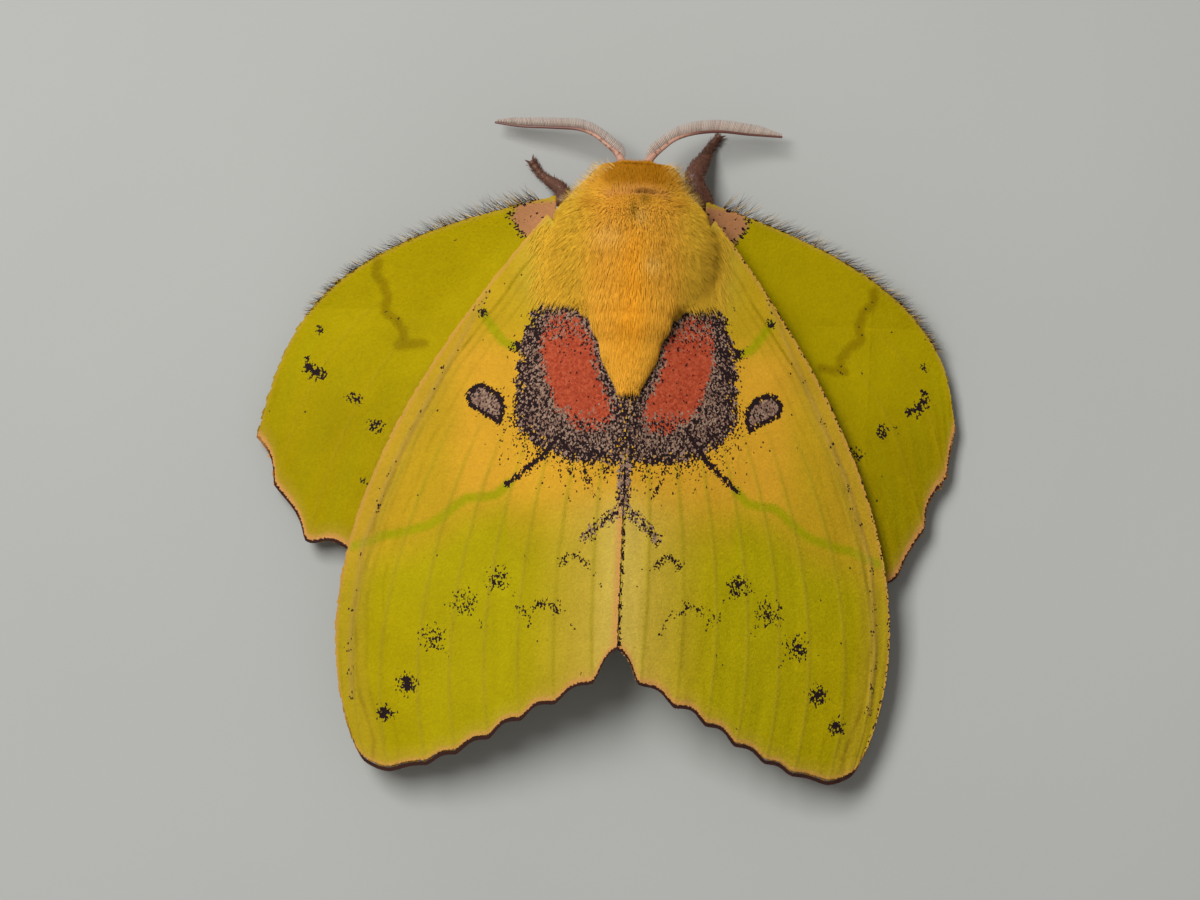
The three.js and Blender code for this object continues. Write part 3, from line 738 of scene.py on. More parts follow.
for side, sign in (("left", -1), ("right", 1)):
    mirror = np.array([sign, 1, 1, 1, 1])
    for name, points in (
        ("foreleg", np.array(FORELEGS[side])), ("midleg", np.array(MIDLEG) * mirror),
        ("hindleg", np.array(HINDLEG) * mirror),
    ):
        surface = limb_surface(points, leg_width)
        corners, faces = limb_mesh(surface, 120, 20)
        tip, heading = points[-1, :3], unit(points[-1, :3] - points[-2, :3])
        # Two hooked claws at the tip of the foot.
        sideways = np.cross(heading, UPWARD) * np.array([[-1], [1]])
        claw_roots = tip + (0, 0, 0.05) + sideways * CLAWS_APART / 2
        spread = unit(heading + sideways * 0.7)
        claws, claw_faces, _ = tufts(
            claw_roots, np.tile(UPWARD, (2, 1)), spread, CLAW_LENGTH, 0.06, CLAW_WIDTH
        )
        claws[:, 2] = np.maximum(claws[:, 2], FLOOR_GAP)
        count = len(corners)
        made = piece(f"{name}_{side}_skin", np.concatenate([corners, claws]),
                     [faces[0], np.concatenate([faces[1], claw_faces + count])], leg_cuticle)
        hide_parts(f"{name}_{side}")
        clothe(f"{name}_{side}_hair", surface, 90, 0.1, 0.26, 0.05, 0.05, leg_hair,
               (0.0, 0.95))
    surface = limb_surface(np.array(PALP) * mirror, lambda u: 0.6 + 0 * u)
    corners, faces = limb_mesh(surface, 40, 20)
    made = piece(f"palp_{side}_skin", corners, faces, leg_cuticle)
    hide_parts(f"palp_{side}")
    clothe(f"palp_{side}_hair", surface, 26, 0.09, 0.4, 0.14, 0.07, leg_hair)

# The feelers' horn: a smooth tan shaft with dark flecks, brown towards its tip, and paler,
# slightly see-through teeth.
shaft_horn = new_finish("feeler_shaft_horn", Roughness=0.4, IOR=1.54)
place = in_millimetres(shaft_horn)
flecks = add(shaft_horn, "TexNoise", {"Vector": place, "Scale": 1 / 0.3, "Detail": 2.0}).outputs["Fac"]
fleck = add(shaft_horn, "MapRange", {"Value": flecks, "From Min": 0.56, "From Max": 0.66}).outputs[0]
tan = add(
    shaft_horn, "Mix", {0: fleck, 6: paint("#b98c78"), 7: paint("#7a5040")}, data_type="RGBA"
).outputs[2]
tan = layered(shaft_horn, tan, [("outer", "#6a4038")])
relief = add(shaft_horn, "Bump", {"Strength": 0.3, "Distance": 0.01 * MM, "Height": flecks}).outputs[0]
feed(shaft_horn, tan, relief)
tooth_horn = new_finish(
    "feeler_tooth_horn", Roughness=0.5, IOR=1.54, Subsurface_Weight=0.15, Subsurface_Scale=0.2 * MM
)
shade = add(tooth_horn, "Attribute", attribute_name="shade").outputs["Fac"]
pale = add(
    tooth_horn, "Mix", {0: shade, 6: paint("#b49a8c"), 7: paint("#cdb9ac")}, data_type="RGBA"
).outputs[2]
feed(tooth_horn, pale)

TOOTH_SPACING = 0.1
SHAFT_RADIUS = 0.13
SHAFT_RINGS = 70
SHAFT_ROWS, SHAFT_SIDES = 560, 12
LINE_STEPS = 400
for side, sign in (("left", -1), ("right", 1)):
    fine = np.linspace(0, 1, LINE_STEPS)
    line = smooth_line(FEELERS[side], fine)
    heading = unit(np.gradient(line[:, :3], axis=0))
    forward = unit(np.cross(UPWARD, heading)) * sign  # the comb's side of the shaft
    rear = line[:, :3] - forward * (line[:, 3:4] - SHAFT_RADIUS) * ramp(fine, 0.1, 0.3)[:, None]
    knots = np.linspace(0, LINE_STEPS - 1, 24).astype(int)
    thick = SHAFT_RADIUS * (1.1 - 0.6 * fine[knots] + 1.3 * (1 - ramp(fine[knots], 0.0, 0.26)))
    shaft = np.concatenate([rear[knots], thick[:, None].repeat(2, 1)], 1)
    surface = limb_surface(
        shaft, lambda u: 1 - 0.12 * np.maximum(np.cos(2 * np.pi * SHAFT_RINGS * u), 0) ** 4
    )
    corners, faces = limb_mesh(surface, SHAFT_ROWS, SHAFT_SIDES)
    outer = ramp(np.linspace(0, 1, SHAFT_ROWS), 0.35, 0.6)
    marks = {"outer": np.concatenate([np.repeat(outer, SHAFT_SIDES), (0, 1)])}
    made = piece(f"antenna_{side}_shaft", corners, faces, shaft_horn, marks)
    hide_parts(f"antenna_{side}")
    run = np.concatenate([[0], np.cumsum(np.linalg.norm(np.diff(rear, axis=0), axis=1))])
    at = np.interp(np.arange(0.9, run[-1] - 0.1, TOOTH_SPACING), run, fine)
    index = (at * (LINE_STEPS - 1)).astype(int)
    reach = line[index, 3] * 2 - SHAFT_RADIUS
    roots, outs, lies, sizes = [], [], [], []
    for droop, share in ((0.1, 1.0), (-0.6, 0.85)):
        lie = unit(forward[index] + heading[index] * 0.3 + np.array([0, 0, droop - 0.15]) * 0.8)
        roots.append(rear[index] + forward[index] * 0.05)
        over = unit(np.cross(lie, heading[index]))
        outs.append(over * np.sign(over[:, 2:]))
        lies.append(lie)
        sizes.append(reach * share * ramp(at, 0.04, 0.2) * (1 - 0.6 * ramp(at, 0.85, 1.0)))
    roots, outs, lies, sizes = (np.concatenate(values) for values in (roots, outs, lies, sizes))
    # A tooth is a thin blade with a blunt end; blade by blade they all but close the comb.
    side_way = np.cross(outs, lies)
    corners = []
    for part, wide, thick in ((0.0, TOOTH_SPACING * 0.95, 0.05), (1.0, TOOTH_SPACING * 0.6, 0.025)):
        middle = roots + lies * (sizes * part)[:, None]
        corners += [middle - side_way * wide / 2, middle + outs * thick, middle + side_way * wide / 2]
    corners = np.stack(corners, 1).reshape(-1, 3)
    first = 6 * np.arange(len(roots))[:, None, None]
    faces = [(np.array([(0, 2, 1), (3, 4, 5)]) + first).reshape(-1, 3),
             (np.array([(0, 1, 4, 3), (1, 2, 5, 4), (2, 0, 3, 5)]) + first).reshape(-1, 4)]
    marks = {"shade": np.repeat(rng.random(len(roots)), 6)}
    patch = np.array([(0, 0), (1, 0), (2, 0), (0, 1), (1, 1), (2, 1)]) / 2 * BAKE_PATCH
    bake = np.stack([np.repeat((0.3, 0.7), len(at)), 0.01 + 0.97 * np.tile(at, 2)], -1)[:, None] + patch
    made = piece(f"antenna_{side}_comb", corners, faces, tooth_horn, marks, bake.reshape(-1, 2))

# ==== The wings: membrane and scales ================================================
# A stiff clear membrane with raised veins, covered on both faces by overlapping
# scales like tiny tiles. A fringe of longer scales stands along the outer edge. The
# colours and marks lie in the scales.
MID_GAP = 0.02  # the two forewings all but meet
SHOULDER, INNER_ROOT = (4.9, 11.8), (MID_GAP, 5.5)
FRONT_PULLS, FRONT_END = [(12.85, 2.2), (19.1, -9.4)], (15.03, -19.4)
# Crests of the scalloped outer edges, each with the depth of the hollow between it and the next.
FORE_CRESTS = np.array([
    (MID_GAP, -13.3, 0.28), (1.38, -15.36, 0.4), (3.5, -16.65, 0.36), (5.43, -17.7, 0.32),
    (7.22, -18.86, 0.27), (9.06, -19.85, 0.22), (10.75, -20.57, 0.15), (12.9, -21.05, 0.02),
    (14.3, -20.55, 0), (*FRONT_END, 0),
])
REARMOST_Y = -21.1
HOLLOW_SKEW, HOLLOW_SHARPNESS, HOLLOW_REACH = 0.85, 1.5, 8
RIDGE_TOP, RIDGE_AT_ROOT, RIDGE_ROOT_Y, RIDGE_SLOPE = 8.35, 8.0, 1.1, 0.1
FRONT_EDGE_HEIGHTS = [5.5, 4.3, 3.6, 3.1, 2.6, 2.2]
ROOF_CURVE = 1.3
HIND_ROOT, HIND_INNER = (4.4, 12.9), (4.1, 5.6)
HIND_FRONT_PULLS = {"left": [(19.0, 9.3), (19.75, 4.8)], "right": [(20.45, 8.3), (19.3, 2.75)]}
HIND_CRESTS = {
    "left": np.array([(4.2, -8.8, 0.3), (8.2, -9.75, 0.3), (12.2, -9.35, 0.3), (15.9, -8.1, 0.35),
                      (18.25, -7.75, 0.45), (20.2, -4.55, 0.4), (21.35, -1.75, 0)]),
    "right": np.array([(4.2, -8.8, 0.3), (8.45, -10.25, 0.3), (12.4, -10.15, 0.3), (16.5, -8.9, 0.3),
                       (18.25, -5.8, 0.45), (19.5, -2.65, 0.1), (19.95, 0.2, 0)]),
}
HIND_EDGE_X, HIND_EDGE_HEIGHT, HIND_SLOPE, HIND_SLOPE_WIDTH = 20.5, 1.2, 0.2, 6
HIND_ROOT_RISE, HIND_RISE_FROM_Y, HIND_DROP, HIND_BLEND = 0.28, 6, 1.15, 0.25
SCALE_LAYER = 0.1  # the membrane lies this far below the wing's upper face
MEMBRANE = 0.16


def bezier(points, t):
    """Points on a Bezier curve."""
    order = len(points) - 1
    t = np.asarray(t, float)[..., None]
    return sum(
        math.comb(order, k) * (1 - t) ** (order - k) * t**k * np.array(point)
        for k, point in enumerate(points)
    )


def wing_plan(inner, front, root, crests):
    """plan(u, v) of a wing from its four edges: u from root to outer edge, v from inner to front edge."""

    def plan(u, v):
        u, v = np.clip(u, 0, 1), np.clip(v, 0, 1)
        i, f, r, o = bezier(inner, u), bezier(front, u), bezier(root, v), smooth_line(crests[:, :2], v)
        across, along = v[..., None], u[..., None]
        corner = (1 - across) * ((1 - along) * np.array(inner[0]) + along * np.array(inner[-1]))
        corner = corner + across * ((1 - along) * np.array(front[0]) + along * np.array(front[-1]))
        place = v * (len(crests) - 1)
        crest = np.minimum(place.astype(int), len(crests) - 2)
        bow = np.maximum(np.sin(np.pi * (place - crest) ** HOLLOW_SKEW), 0)
        hollow = crests[crest, 2] * bow**HOLLOW_SHARPNESS * u**HOLLOW_REACH
        heading = unit(smooth_line(crests[:, :2], v + 0.002) - smooth_line(crests[:, :2], v - 0.002))
        made = (1 - across) * i + across * f + (1 - along) * r + along * o - corner
        return made[..., 0] - heading[..., 1] * hollow, made[..., 1] + heading[..., 0] * hollow

    return plan


FORE_FRONT = [SHOULDER, *FRONT_PULLS, FRONT_END]
fore_plan = wing_plan([INNER_ROOT, FORE_CRESTS[0, :2]], FORE_FRONT, [INNER_ROOT, SHOULDER], FORE_CRESTS)
front_edge = bezier(FORE_FRONT, np.linspace(0, 1, 1001))


def front_gap(x, y):
    """How far inside the forewing's front edge each place lies, measured across the moth."""
    return np.interp(-y, -front_edge[:, 1], front_edge[:, 0]) - np.abs(x)


def fore_top(x, y):
    """Height of the forewing's upper face: a roof along the midline."""
    along = np.clip((SHOULDER[1] - y) / (SHOULDER[1] - REARMOST_Y), 0, 1)
    steps = len(FRONT_EDGE_HEIGHTS)
    edge = np.interp(along * (steps - 1), np.arange(steps), FRONT_EDGE_HEIGHTS)
    ridge = np.minimum(RIDGE_TOP, RIDGE_AT_ROOT + RIDGE_SLOPE * (y - RIDGE_ROOT_Y))
    across = np.abs(x) / (np.abs(x) + front_gap(x, y))
    return edge + (ridge - edge) * (1 - across**ROOF_CURVE)


def hind_top(x, y):
    """Height of the hindwing's upper face: under the forewing, then nearly level outside it."""
    covered = fore_top(x, y) - HIND_DROP
    shown = HIND_EDGE_HEIGHT + HIND_SLOPE * np.minimum(HIND_EDGE_X - x, HIND_SLOPE_WIDTH)
    shown = shown + HIND_ROOT_RISE * np.maximum(0, y - HIND_RISE_FROM_Y)
    return HIND_BLEND * np.logaddexp(covered / HIND_BLEND, shown / HIND_BLEND)


def veins_at(u, v, crests):
    """Strength of the veins, which end at the crests of the outer edge."""
    spaces = len(crests) - 1
    off = (v * spaces - np.round(v * spaces)) / spaces * (8 + 8 * u)
    return np.exp(-((off / 0.1) ** 2)) * ramp(u, 0.25, 0.5)


def wing_surface(plan, top, crests, sign, drop):
    """surface(u, v) of one wing, drop below its upper face, with veins, folds and the front rib."""

    def surface(u, v):
        x, y = plan(u, v)
        folds = np.cos(2 * np.pi * (len(crests) - 1) * v) * ramp(u, 0.3, 1.0)
        creases = uneven(v * 24 + sign, u * 5, 0.5) * ramp(u, 0.3, 0.9)
        rib = np.exp(-((from_line(x, y, COSTAL_GROOVE) / 0.14) ** 2)) if top is fore_top else 0
        height = top(x, y) - drop + 0.02 * veins_at(u, v, crests) + 0.015 * folds + 0.02 * creases
        return np.stack([x * sign, y, height + 0.05 * rib - 0.08], -1)

    return surface


def inside(x, y, outline):
    """Depth of each place inside a closed outline, less than 0 outside it."""
    closed = [*outline, outline[0]]
    crossings = np.zeros(np.shape(x), int)
    for (ax, ay), (bx, by) in zip(closed, closed[1:]):
        spans = (ay > y) != (by > y)
        crossings += spans & (x < ax + (y - ay) / ((by - ay) or 1e-9) * (bx - ax))
    return np.where(crossings % 2 == 1, 1, -1) * from_line(x, y, closed)


# Marks of the forewing, drawn for the moth's right side and mirrored for its left.
PATCH = [(1.0, 6.2), (2.0, 6.6), (3.5, 6.85), (5.0, 6.65), (5.6, 6.0), (6.0, 4.8), (6.35, 3.5),
         (6.4, 1.6), (6.5, 0.1), (5.9, -1.0), (4.8, -1.8), (3.2, -2.4), (1.4, -2.5), (0.2, -2.4),
         (0.0, 1.0), (0.6, 4.0)]
CORE = [(4.1, 6.05), (4.8, 5.7), (5.0, 4.9), (5.0, 3.6), (4.7, 2.2), (4.1, 0.65), (3.2, -0.4),
        (2.2, -0.75), (1.1, -0.55), (0.75, 0.2), (1.0, 1.0), (1.5, 2.0), (1.9, 3.2), (2.1, 4.4),
        (2.5, 5.2), (3.1, 5.9)]
OVAL = [(9.3, 1.15), (8.9, 1.7), (8.27, 1.88), (7.5, 1.5), (6.97, 0.87), (6.98, 0.1), (7.2, -0.6),
        (7.65, -0.35), (8.3, 0.05), (9.1, 0.45)]
BLACK_STREAK = [(3.8, -1.0), (4.6, -2.05), (5.6, -3.0), (6.7, -4.0)]
FINE_STREAKS = [
    [(2.45, -2.5), (2.2, -3.4), (1.7, -4.4)], [(3.3, -2.4), (3.1, -3.2)], [(1.3, -2.5), (1.1, -3.3)],
]
ARCH = [(0.17, -5.2), (0.75, -5.6), (1.5, -6.2), (2.05, -6.85)]
ANTEMEDIAL = [(8.4, 5.9), (8.0, 5.3), (7.2, 4.3), (6.4, 4.0)]
POSTMEDIAL = [(6.6, -3.9), (7.3, -4.6), (8.05, -4.75), (9.0, -4.85), (9.6, -5.3), (10.35, -6.0),
              (11.1, -6.5), (12.0, -6.8), (13.0, -7.1), (13.7, -7.2), (14.3, -7.5), (15.7, -8.0)]
COSTAL_GROOVE = [(8.2, 7.2), (11.2, 1.2), (13.2, -2.9), (14.9, -7.8), (15.45, -13.0), (15.25, -16.7)]
FORE_SPOTS = [  # x, y, radius, share of dark scales
    (13.27, -17.63, 0.42, 1.0), (12.07, -15.8, 0.5, 1.0), (10.65, -13.0, 0.62, 0.6),
    (8.9, -10.97, 0.65, 0.5), (7.0, -9.5, 0.62, 0.6), (6.45, 4.0, 0.32, 1.0),
    (8.45, 5.9, 0.25, 1.0), (5.5, -11.4, 0.4, 0.3),
]
CRESCENTS = [
    [(4.9, -11.1), (4.5, -10.7), (4.0, -10.7), (3.6, -11.2)],
    [(3.4, -8.4), (3.0, -7.95), (2.5, -7.95), (2.1, -8.4)],
]
FRONT_VEINS = [(1.15, 0.7), (1.75, 0.3), (2.6, 0.25)]  # distance from the edge, strength
TRAILS = [
    [(6.1, -10.1), (5.85, -11.2)], [(8.1, -11.6), (7.85, -12.4)], [(5.3, -11.3), (5.1, -12.4)],
    [(3.6, -10.5), (2.9, -11.4), (2.45, -12.5)], [(1.9, -8.3), (1.1, -9.6)], [(10.2, -13.4), (9.7, -14.1)],
]


def to_edge(plan, u, v, edge_u, edge_v):
    """Distance of each place from the same wing's place edge_u, edge_v."""
    (x, y), (ex, ey) = plan(u, v), plan(edge_u, edge_v)
    return np.hypot(ex - x, ey - y)


def edge_marks(plan, u, v, along_front):
    """Marks along the wing's edges: the dark fringe, and the peach rim inside it and along the front."""
    outer = to_edge(plan, u, v, np.ones_like(u), v)
    front = to_edge(plan, u, v, u, np.ones_like(v))
    rim = 0.9 * (1 - ramp(outer, 0.2, 0.8)) + 0.15 * (1 - ramp(outer, 0.5, 1.6))
    return {
        "fringe": (1 - ramp(outer, 0.14, 0.2)) * (1 - 0.5 * ramp(v, 0.9, 0.98)),
        "peach": np.clip(np.maximum(rim, along_front * (1 - ramp(front, 0.05, 0.3))), 0, 1),
    }


def fore_marks(plan, points, u, v):
    """Strength or share of scales of each colour on the forewing."""
    side, x, y = np.sign(points[..., 0]), np.abs(points[..., 0]), points[..., 1]
    wobble = 0.16 * uneven(x * side, y, 0.35)
    depth = inside(x, y, PATCH) + wobble
    core = ramp(inside(x, y, CORE) + 0.7 * wobble, -0.22, 0.3)
    patch = ramp(depth, -0.12, 0.12)
    lower = 1 - ramp(y, -1.5, 2.5)
    stray = (0.12 + 0.33 * lower) * np.exp(np.minimum(depth, 0) / (0.2 + 0.35 * lower)) * (1 - patch)
    rim = 1 - ramp(depth, 0.5, 1.4)
    dusk = 0.02 + 0.26 * ramp(y, 3.5, 5.5) + 0.35 * (1 - ramp(y, -0.4, 0.5))
    dark = patch * (0.46 + 0.24 * rim) * (1 - core) + core * dusk + stray
    rose = patch * (0.75 + 0.25 * ramp(depth, 0.1, 0.7))
    oval = inside(x, y, OVAL) + 0.3 * wobble
    dark = np.maximum(dark, ramp(oval, -0.06, 0.06) * (0.25 + 0.72 * (1 - ramp(oval, 0.22, 0.42))))
    rose = np.maximum(rose, ramp(oval, 0.15, 0.35))
    streak = from_line(x, y, BLACK_STREAK) + 0.5 * wobble
    dark = np.maximum(dark, 0.95 * (1 - ramp(streak, 0.08, 0.3 - 0.03 * np.clip(x - 3.8, 0, 3))))
    for line in FINE_STREAKS:
        dark = np.maximum(dark, 0.5 * (1 - ramp(from_line(x, y, line), 0.04, 0.22)))
    middle = (1 - ramp(x, 0.22, 0.5)) * ramp(y, -5.4, -4.8) * (1 - ramp(y, 1.0, 1.6))
    dark = np.maximum(dark, 0.42 * middle)
    rose = np.maximum(rose, 0.9 * middle)
    # Behind the patch a thin dashed line runs along the right wing's inner edge.
    dashes = 0.55 + 0.6 * uneven(0 * y, y, 0.3)
    dark = np.maximum(dark, (side > 0) * (1 - ramp(x, 0.1, 0.22)) * ramp(-y, 4.5, 6.0) * dashes)
    dark = np.maximum(dark, 0.42 * (1 - ramp(from_line(x, y, ARCH), 0.1, 0.55)))
    rose = np.maximum(rose, 0.5 * (1 - ramp(from_line(x, y, ARCH), 0.1, 0.45)))
    for cx, cy, radius, share in FORE_SPOTS:
        away = np.hypot(x - cx, y - cy) / radius + 0.4 * uneven(x * side, y, 0.2)
        dark = np.maximum(dark, share * np.exp(-np.maximum(away, 0) ** 3))
    for line in CRESCENTS:
        dark = np.maximum(dark, 0.55 * np.exp(-(from_line(x, y, line) / 0.2) ** 2))
    for line in TRAILS:
        dark = np.maximum(dark, 0.14 * (1 - ramp(from_line(x, y, line), 0.05, 0.14)))
    groove = from_line(x, y, COSTAL_GROOVE)
    flecks = ramp(uneven(x, y, 0.5), 0.15, 0.5) * (1 - ramp(groove, 0.1, 0.3))
    dark = np.maximum(dark, 0.16 * flecks)
    fallen = np.interp(x, [6.6, 9.0, 10.35, 12.0, 14.3, 16.0], [-3.9, -4.85, -6.0, -6.8, -7.5, -8.1]) - y
    outer = ramp(fallen, -0.6, 3.0) * (0.45 + 0.55 * ramp(x, 1.0, 6.0))
    outer = np.where(x < 6.6, ramp(-y, 3.5, 9.0) * (0.35 + 0.65 * ramp(x, 1.0, 6.6)), outer)
    line = np.minimum(from_line(x, y, POSTMEDIAL), from_line(x, y, ANTEMEDIAL))
    gap = front_gap(x, y)
    costal = 1 - ramp(gap, 1.2, 2.2)
    # Close to the front edge the veins run along it, and the membrane is pleated between them.
    pleats = sum(
        share * np.exp(-(((gap - at - 0.2 * uneven(x, y, 2.0)) / 0.12) ** 2)) for at, share in FRONT_VEINS
    ) * (0.5 + 0.5 * ramp(uneven(x * side, y, 0.8), -0.5, 0.4))
    pleats = pleats * ramp(-y, -11.0, -9.0)
    # A thin dark line along the right forewing's front edge: painted shadow of the edge, on the side away
    # from the light.
    dark = np.maximum(dark, (side > 0) * 0.28 * (1 - ramp(gap, 0.06, 0.16)))
    edges = edge_marks(plan, u, v, 0.5)
    seam = (side < 0) * 0.8 * (1 - ramp(x, 0.1, 0.6)) * ramp(-y, 3.0, 6.0)
    edges["peach"] = np.maximum(edges["peach"], seam)
    return {
        "dark": dark + 0.0004,
        "rose": rose,
        "red": core * (1 - 0.4 * ramp(y, 3.8, 5.8) - 0.3 * (1 - ramp(y, -0.2, 1.0))),
        "green": 0.9 * (1 - ramp(line, 0.1, 0.42)) * (1 - patch),
        "gold": ramp(y, -7.0, -3.5) * (1 - ramp(y, 3.0, 5.5)) * (1 - ramp(x, 8.5, 11.0)),
        "lime": np.maximum(outer, 0.33 * ramp(y, 3.0, 9.0) * ramp(x, 3.0, 6.5)) * (1 - 0.4 * costal),
        "deep": 0.5 * outer * ramp(x, 8.0, 13.0) * ramp(-y, 8.0, 14.0),
        "straw": (0.4 * (1 - ramp(x, 0.5, 5.5)) + 0.35 * (1 - ramp(x, 0.4, 2.0))) * ramp(-y, 3.0, 6.0)
        + 0.3 * ramp(y, 5.0, 8.0) * (1 - ramp(x, 4.5, 7.5)),
        "olive": pleats,
        "tan": 0.15 * costal * ramp(-y, -6.0, 0.0) + 0.4 * (1 - ramp(groove, 0.06, 0.3)),
        "vein": 0.6 * veins_at(u, v, FORE_CRESTS),
        **edges,
    }


# Marks of the hindwing. The two sides differ a little.
ZIGZAG = {
    "left": [(14.6, 8.75), (14.72, 8.05), (14.2, 7.4), (13.97, 6.65), (14.1, 5.9), (13.45, 5.4),
             (13.0, 4.85), (12.9, 4.2), (13.25, 3.9), (11.8, 4.1)],
    "right": [(14.6, 8.1), (14.6, 7.42), (14.07, 6.8), (13.87, 6.07), (14.0, 5.25), (13.3, 4.65),
              (12.9, 4.15), (12.8, 3.5), (13.1, 3.3), (11.7, 3.5)],
}
HIND_SPOTS = {  # x, y, radius, share of dark scales
    "left": [(17.95, 4.6, 0.28, 0.5), (18.5, 2.95, 0.22, 0.9), (18.4, 2.5, 0.34, 1.0),
             (18.05, 2.15, 0.34, 1.0), (17.6, 2.1, 0.26, 1.0), (15.85, 0.8, 0.3, 0.6),
             (15.5, 0.65, 0.3, 0.6), (14.45, -0.85, 0.45, 0.6), (14.9, -4.1, 0.18, 0.6)],
    "right": [(17.95, 3.75, 0.24, 0.6), (18.0, 2.3, 0.2, 1.0), (17.95, 1.7, 0.34, 1.0),
              (17.6, 1.3, 0.34, 1.0), (17.1, 1.1, 0.24, 1.0), (15.5, -0.15, 0.38, 0.7),
              (16.3, 0.1, 0.2, 0.35), (13.9, -1.6, 0.38, 0.6)],
}
ROOT_PATCH = [(4.2, 12.7), (6.6, 12.5), (7.0, 11.6), (6.2, 10.5), (4.6, 10.6)]


def hind_marks(side, plan, points, u, v):
    """Strength or share of scales of each colour on the hindwing."""
    x, y = np.abs(points[..., 0]), points[..., 1]
    root = inside(x, y, ROOT_PATCH)
    dark = 0.04 * ramp(root, -0.1, 0.1) + 0.3 * (1 - ramp(np.abs(root), 0.08, 0.3)) * ramp(x, 5.4, 6.0)
    for cx, cy, radius, share in HIND_SPOTS[side]:
        away = np.hypot(x - cx, y - cy) / radius + 0.35 * uneven(x, y, 0.2)
        dark = np.maximum(dark, share * np.exp(-np.maximum(away, 0) ** 3))
    zigzag = from_line(x, y, ZIGZAG[side]) + 0.05 * uneven(x, y, 0.3)
    folds = 0.5 - 0.5 * np.cos(2 * np.pi * (len(HIND_CRESTS[side]) - 1) * v)
    front = to_edge(plan, u, v, u, np.ones_like(v))
    return {
        "dark": dark + 0.0003 + 0.03 * (1 - ramp(zigzag, 0.05, 0.2)),
        "rose": 0 * x,
        "red": 0 * x,
        # Greener and darker in the hollows of the folds between the veins: painted shade.
        "green": 0.3 * folds * ramp(u, 0.3, 0.8),
        "olive": np.maximum(0.85 * (1 - ramp(zigzag, 0.1, 0.45)), 0.35 * ramp(-y, -4.0, 2.0)),
        "gold": 0.25 * (1 - ramp(front, 0.3, 1.6)),
        "lime": 1 + 0 * x,
        "deep": 0.9 + 0 * x,
        "root": ramp(root, -0.15, 0.25),
        "vein": 0.2 * veins_at(u, v, HIND_CRESTS[side]),
        **edge_marks(plan, u, v, 0.2),
    }


# Wing scales: matt and powdery with a faint silk, a tenth of a millimetre wide. Single
# black, rose and red scales among the yellow ones give the marks their grain.
SCALE_SIZE = 0.12
GROUND = "#ba961c"
WING_LAYERS = [
    ("gold", "#cf9c29"), ("lime", "#a89a06"), ("deep", "#a69200"), ("straw", "#cdb354"),
    ("green", "#9c9704"), ("olive", "#8a7400"), ("vein", "#a08e1a"), ("tan", "#a8883c"),
    ("root", "#ac7850"),
]
scale_finish = new_finish("wing_scales", Roughness=0.7, Specular_IOR_Level=0.04)
place = in_millimetres(scale_finish)
cells = add(scale_finish, "TexVoronoi", {"Vector": place, "Scale": 1 / SCALE_SIZE})
lots = add(scale_finish, "SeparateColor", {0: cells.outputs["Color"]}).outputs
ground = layered(scale_finish, paint(GROUND), WING_LAYERS)
cloud = add(scale_finish, "TexNoise", {"Vector": place, "Scale": 1 / 2.5, "Detail": 3.0}).outputs["Fac"]
spread = {"Value": cloud, "From Min": 0.3, "From Max": 0.7, "To Min": 0.94, "To Max": 1.06}
cloudy = add(scale_finish, "MapRange", spread).outputs[0]
single = add(scale_finish, "MapRange", {"Value": lots[2], "To Min": 0.95, "To Max": 1.05}).outputs[0]
value = add(scale_finish, "Math", {0: cloudy, 1: single}, operation="MULTIPLY").outputs[0]
ground = add(scale_finish, "HueSaturation", {"Value": value, "Color": ground}).outputs[0]
ground = layered(scale_finish, ground, [("peach", "#c98f50")])
grey, rust = (
    add(scale_finish, "Mix", {0: lots[lot], 6: paint(deep), 7: paint(light)}, data_type="RGBA").outputs[2]
    for lot, deep, light in ((1, "#6a4c42", "#a58a76"), (0, "#9a3a24", "#ba5639"))
)
for mark, colour, lot in (("rose", grey, 0), ("red", rust, 1), ("dark", paint("#261a1c"), 2)):
    share = add(scale_finish, "Attribute", attribute_name=mark).outputs["Fac"]
    chosen = add(scale_finish, "Math", {0: share, 1: lots[lot]}, operation="GREATER_THAN").outputs[0]
    ground = add(scale_finish, "Mix", {0: chosen, 6: ground, 7: colour}, data_type="RGBA").outputs[2]
ground = layered(scale_finish, ground, [("fringe", "#38221e")])
rise = {"Strength": 0.3, "Distance": 0.012 * MM, "Height": cells.outputs["Distance"]}
feed(scale_finish, ground, add(scale_finish, "Bump", rise).outputs[0])


def membrane(name, wing, replaced, rows, columns):
    """A wing's thin sheet: an upper and a lower face with a rim between them. A wing is its plan,
    its height, its crests, its side's sign and its marks."""
    plan, top, crests, sign, marks_of = wing
    u, v = np.meshgrid(np.linspace(0, 0.99, rows), np.linspace(0.004, 0.994, columns), indexing="ij")
    upper = wing_surface(plan, top, crests, sign, SCALE_LAYER)(u, v)
    lower = wing_surface(plan, top, crests, sign, SCALE_LAYER + MEMBRANE)(u, v)
    here = np.arange(rows * columns).reshape(rows, columns)
    sheet = np.stack([here[:-1, :-1], here[1:, :-1], here[1:, 1:], here[:-1, 1:]], -1).reshape(-1, 4)
    rim = np.concatenate([here[:, 0], here[-1, 1:], here[-2::-1, -1], here[0, -2:0:-1]])
    onward = np.roll(rim, -1)
    count = rows * columns
    edge = np.stack([rim, onward, onward + count, rim + count], -1)[:, ::-1]
    faces = np.concatenate([sheet, sheet[:, ::-1] + count, edge])
    if sign < 0:
        faces = faces[:, ::-1]
    marks = {mark: np.tile(values.ravel(), 2) for mark, values in marks_of(plan, upper, u, v).items()}
    corners = np.concatenate([upper.reshape(-1, 3), lower.reshape(-1, 3)])
    made = piece(name, corners, faces, scale_finish, marks)
    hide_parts(replaced)


LOOSE_SCALES = 0.8  # how far the loose scales' shading leans upwards
FRINGE_BLADES = 1500
FRINGE_LENGTH = 0.2


